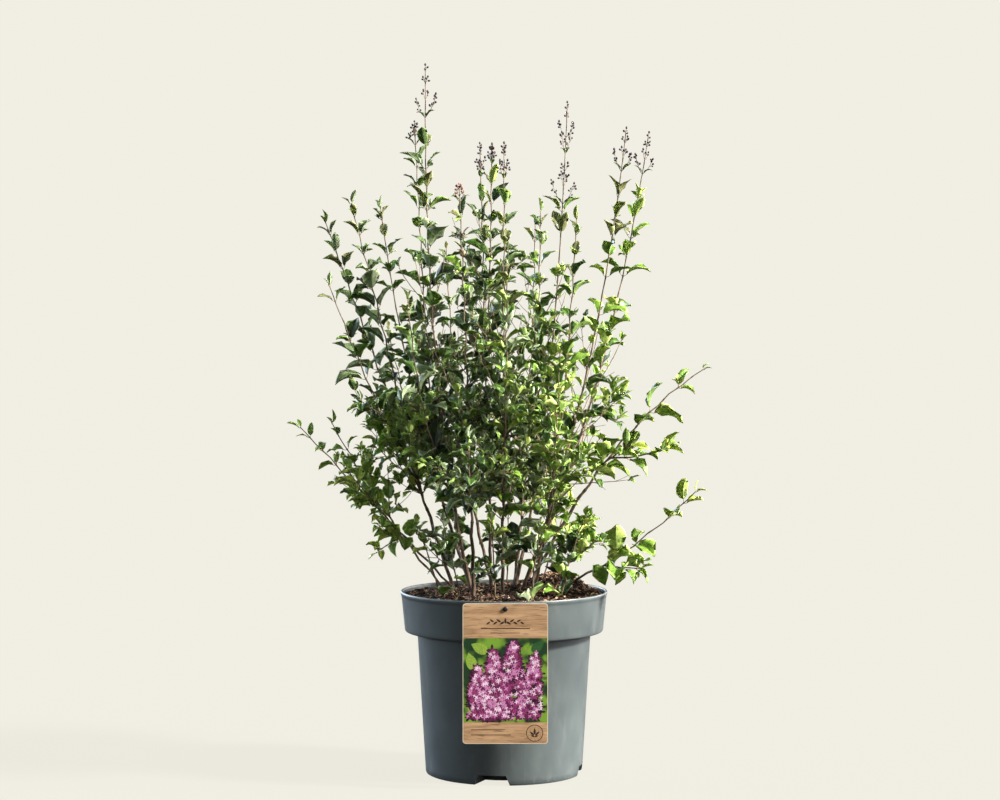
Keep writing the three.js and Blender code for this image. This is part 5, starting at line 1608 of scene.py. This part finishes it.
# %% Printed leaves and rules
t = np.linspace(0, 1, 9)
blade = np.stack([0.28 * leaf_outline(t), t - 0.5], -1)[1:-1]
blade = np.concatenate([[(0, -0.5)], blade, [(0, 0.5)], blade[::-1] * [-1, 1]])
LEAF_PRINTS = np.array([(0.13, 0.14, 27, 0.7), (0.3, 0.1, 24, -1.2), (0.62, 0.09, 26, 1.3),
                        (0.87, 0.15, 28, -0.6), (0.1, 0.72, 26, 0.3), (0.88, 0.9, 22, -0.9),
                        (0.2, 0.88, 26, 1.1), (0.9, 0.45, 24, 0.2), (0.12, 0.44, 24, -0.4)])
for first, name, colour in ((0, "bright", srgb(142, 172, 66)), (1, "dark", srgb(46, 88, 44))):
    rows = LEAF_PRINTS[first::2] * (width, tall, 1, 1) + (left, FOOT_BAND, 0, 0)
    green_ink = ink("ink_leaf_" + name, colour)
    stamp("label_leaves_" + name, blade, rows[:, :2], rows[:, 2], rows[:, 3], 5 + first, green_ink)

# %% The garland and the sprig
sepia = ink("ink_sepia", srgb(52, 36, 26))
middle = (left + right) / 2
step = np.arange(-5, 6)
leaning = -np.sign(step) * np.where(step % 2 > 0, 2.1, 1.0)
garland_x, garland_z = middle + 4.6 * step, high - 25 + 1.7 * (-1.0) ** step
garland = np.stack([garland_x, garland_z, 8.0 - 0.3 * np.abs(step), leaning], -1)
sprig = np.array([(0, 2, 9, 0), (-3.6, -1, 8, 0.8), (3.6, -1, 8, -0.8), (-2.6, -4.6, 6, 1.2),
                  (2.6, -4.6, 6, -1.2)])
sprigs = np.concatenate([garland, sprig + (right - 18, low + 15, 0, 0)])
stamp("label_sprigs", blade * (0.6, 1), sprigs[:, :2], sprigs[:, 2], sprigs[:, 3], 3, sepia)

# %% The seal and the rules
SEAL_RADIUS, SEAL_FACE_RADIUS = 11.5, 10.6
RULE_HALF = 0.009
t = np.arange(40) / 40 * TURN
disc = np.stack([np.cos(t), np.sin(t)], -1)
seal = np.array([(right - 18, low + 14.5)])
upright = np.zeros(1)
stamp("label_seal", disc, seal, np.array([SEAL_RADIUS]), upright, 6, sepia)
sand = ink("ink_sand", srgb(178, 142, 106))
stamp("label_seal_face", disc, seal, np.array([SEAL_FACE_RADIUS]), upright, 5, sand)
rule = np.array([(-0.5, -RULE_HALF), (0.5, -RULE_HALF), (0.5, RULE_HALF), (-0.5, RULE_HALF)])
RULES = np.array([(middle, high - 34, 66), (middle, high - 40, 40), (left + 34, low + 19, 46),
                  (left + 38, low + 12, 54)])
stamp("label_rules", rule, RULES[:, :2], RULES[:, 2], np.zeros(len(RULES)), 5, sepia)

# %% [markdown]
# ### The peg
# A snap peg goes through the card and the collar. Its domed head is a quarter of a flattened circle
# turned about the peg's line, with the pin behind it.

# %% The peg
PEG_RADIUS, PEG_HEAD_RADIUS, PEG_HEAD, PEG_REACH, PEG_SIDES = 1.5, 3.4, 1.3, 3.4, 20
v = np.linspace(0, 1, 7)
dome = np.stack([PEG_HEAD_RADIUS * np.cos(v * TURN / 4) ** 0.8, PEG_HEAD * np.sin(v * TURN / 4)], -1)
turns = np.arange(PEG_SIDES) / PEG_SIDES * TURN
centre = (peg_low + peg_high) / 2
face_out = -LABEL_FACE
pin = [(0, face_out - PEG_REACH), (PEG_RADIUS, face_out - PEG_REACH), (PEG_RADIUS, face_out + 0.1),
       (PEG_HEAD_RADIUS - 0.1, face_out + 0.1)]
profile = np.concatenate([pin, dome + (0, face_out + 0.3)])
corners = np.stack([centre[0] + profile[:, :1] * np.cos(turns), -profile[:, 1:] + 0 * turns,
                    centre[2] + profile[:, :1] * np.sin(turns)], -1)
faces = grid_faces(len(corners), PEG_SIDES, wrap=True)
rubber = Recipe("peg", srgb(22, 22, 24), 0.45)
peg_material = rubber.use(Roughness=rubber.span(rubber.noise(rubber.place(), 500.0), 0.3, 0.7, 0.38, 0.55))
weld(make_piece("peg", corners.reshape(-1, 3), [faces], [peg_material], ["label_peg"]))

# %% [markdown]
# ## Light, floor and camera
# The plant stands on a plain pale floor that is as bright as the paper behind it. A pale floor that is
# lit by the sun shows a horizon and throws so much light up that the leaves lose their darks. So this
# one is nearly black to the lamps, keeps a hint of the plant's shadow, and glows to the camera alone.

# %% Floor
CREAM = srgb(241, 238, 227)
FLOOR_GLOW, FLOOR_SHEEN, FLOOR_BOUNCE = 0.931, 0.06, 0.015
FLOOR_SHADE = 0.02
FLOOR_REACH = 40.0
FLOOR_COLOUR = tuple(c * FLOOR_SHADE for c in CREAM[:3]) + (1,)
paper = Recipe("floor", FLOOR_COLOUR, 0.95, Specular_IOR_Level=0.0)
paper.shader.inputs["Emission Color"].default_value = CREAM
path = paper.node("ShaderNodeLightPath").outputs
glow = paper.sum("MULTIPLY_ADD", path["Is Glossy Ray"], FLOOR_SHEEN - FLOOR_BOUNCE, FLOOR_BOUNCE)
glow = paper.sum("MULTIPLY_ADD", path["Is Camera Ray"], FLOOR_GLOW - FLOOR_BOUNCE, glow)
paper.use(Emission_Strength=glow)
floor_mesh = bpy.data.meshes.new("floor")
square = np.array([(-1, -1, 0), (1, -1, 0), (1, 1, 0), (-1, 1, 0)]) * FLOOR_REACH
floor_mesh.from_pydata(square.tolist(), [], [(0, 1, 2, 3)])
floor_mesh.materials.append(paper.material)
floor = bpy.data.objects.new("floor", floor_mesh)
bpy.context.scene.collection.objects.link(floor)
floor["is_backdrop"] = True
print("floor reaches", FLOOR_REACH, "m each way")

# %% [markdown]
# ### A room of soft panels
# The pot's gloss shows the room it stands in, so the room decides how the pot looks. It is nearly dark,
# with soft panels all round: wide ones at both sides, faint ones behind and overhead, and narrow bright
# ones behind to the left and to the right. These draw a pale line down each edge of the pot, because
# they are mirrored at a glancing angle, where any surface mirrors well. The camera sees plain paper.

# %% Room
world = bpy.data.worlds.new("room")
bpy.context.scene.world = world
world.use_nodes = True
tree = world.node_tree


def room_node(kind, links=(), **settings):
    """Add a node to the room, link sockets into its inputs, and give it back."""
    made = tree.nodes.new(kind)
    for key, value in settings.items():
        setattr(made, key, value)
    for key, value in links:
        if isinstance(value, bpy.types.NodeSocket):
            tree.links.new(value, made.inputs[key])
        else:
            made.inputs[key].default_value = value
    return made


def panel(direction, edge, middle, strength, colour):
    """Light that rises smoothly round a direction, from nothing where the cosine of the angle to it is
    edge, to its full strength where that is middle."""
    aimed = tuple(unit(np.array(direction, float)))
    facing = room_node("ShaderNodeVectorMath", [(0, ray_way), (1, aimed)], operation="DOT_PRODUCT")
    rise = room_node("ShaderNodeMapRange", [(0, facing.outputs["Value"]), (1, edge), (2, middle), (3, 0.0),
                                            (4, strength)], interpolation_type="SMOOTHSTEP")
    return room_node("ShaderNodeBackground", [("Color", colour), ("Strength", rise.outputs[0])]).outputs[0]


print("the room's shader starts with", len(tree.nodes), "nodes")

# %% The panels
ray_way = room_node("ShaderNodeTexCoord").outputs["Generated"]
COOL, PLAIN = (0.72, 0.86, 1.0, 1), (1, 1, 1, 1)
AMBIENT = 0.015
PANELS = [((-0.2, 1.0, 0.0), 0.35, 0.95, 0.4, COOL), ((1.0, -0.1, 0.1), 0.55, 0.85, 4.0, PLAIN),
          ((-0.3, -0.6, 0.8), 0.3, 0.95, 0.14, PLAIN), ((-0.62, 0.78, 0.0), 0.84, 0.97, 11.0, COOL),
          ((-1.0, 0.2, 0.1), 0.6, 0.95, 2.8, COOL), ((0.75, 0.66, 0.0), 0.87, 0.97, 7.0, PLAIN)]
lit = room_node("ShaderNodeBackground", [("Color", PLAIN), ("Strength", AMBIENT)]).outputs[0]
for settings in PANELS:
    lit = room_node("ShaderNodeAddShader", [(0, lit), (1, panel(*settings))]).outputs[0]
seen = room_node("ShaderNodeBackground", [("Color", CREAM), ("Strength", 1.0)])
from_camera = room_node("ShaderNodeLightPath").outputs["Is Camera Ray"]
both = room_node("ShaderNodeMixShader", [(0, from_camera), (1, lit), (2, seen.outputs[0])])
tree.links.new(both.outputs[0], tree.nodes["World Output"].inputs["Surface"])
print(len(PANELS), "panels light the room")

# %% [markdown]
# ### The key light
# A warm sun from the right, a little in front and above, brings out the leaves' gloss, shines through
# the young ones and leaves the left side in shade. Its disc is 9 degrees wide, so shadows are soft.

# %% Key light
KEY_WAY = Vector((-0.85, 0.2, -0.58))
sun = bpy.data.lights.new("key", "SUN")
sun.energy = 13.5
sun.color = (1.0, 0.97, 0.9)
sun.angle = math.radians(9)
key = bpy.data.objects.new("key", sun)
key.rotation_mode = "QUATERNION"
key.rotation_quaternion = KEY_WAY.to_track_quat("-Z", "Y")
bpy.context.scene.collection.objects.link(key)
print("key light stands", round(math.degrees(math.asin(-KEY_WAY.normalized().z))), "degrees up")

# %% [markdown]
# ### The camera
# The camera stands well back with a long lens, a little above the middle of the crown, so the pot's rim
# shows as a thin ellipse. It tilts by the angle between the horizon's row and the picture's middle, and
# stands off to one side by the pot's distance from the middle column.

# %% Camera
CAMERA_DISTANCE, CAMERA_HEIGHT = 3.5, 0.64
LENS, SENSOR, PICTURE_WIDTH, PICTURE_HEIGHT = 90.0, 36.0, 1000, 800
HORIZON_ROW, AXIS_COLUMN = 316.6, 504.0
focal = LENS / SENSOR * PICTURE_WIDTH
camera = bpy.data.objects.new("camera", bpy.data.cameras.new("camera"))
camera.data.lens, camera.data.sensor_width = LENS, SENSOR
tilt = math.atan((PICTURE_HEIGHT / 2 - HORIZON_ROW) / focal)
sideways = (AXIS_COLUMN - PICTURE_WIDTH / 2) / focal * CAMERA_DISTANCE
camera.location = (-sideways, -CAMERA_DISTANCE, CAMERA_HEIGHT)
camera.rotation_euler = (math.pi / 2 - tilt, 0, 0)
bpy.context.scene.collection.objects.link(camera)
bpy.context.scene.camera = camera
bpy.context.scene.view_settings.view_transform = "Standard"
print("camera tilted down", round(math.degrees(tilt), 2), "degrees")

# %% [markdown]
# ## Sizes
# The last step measures the finished model and prints its box in millimetres. Its box may not grow past
# the solid model's by more than a few hundredths of a side, or the part would no longer fit where its
# solid fits.

# %% Sizes
low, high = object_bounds()
print("visual box in mm", [round(x / MM) for x in (*low, *high)])
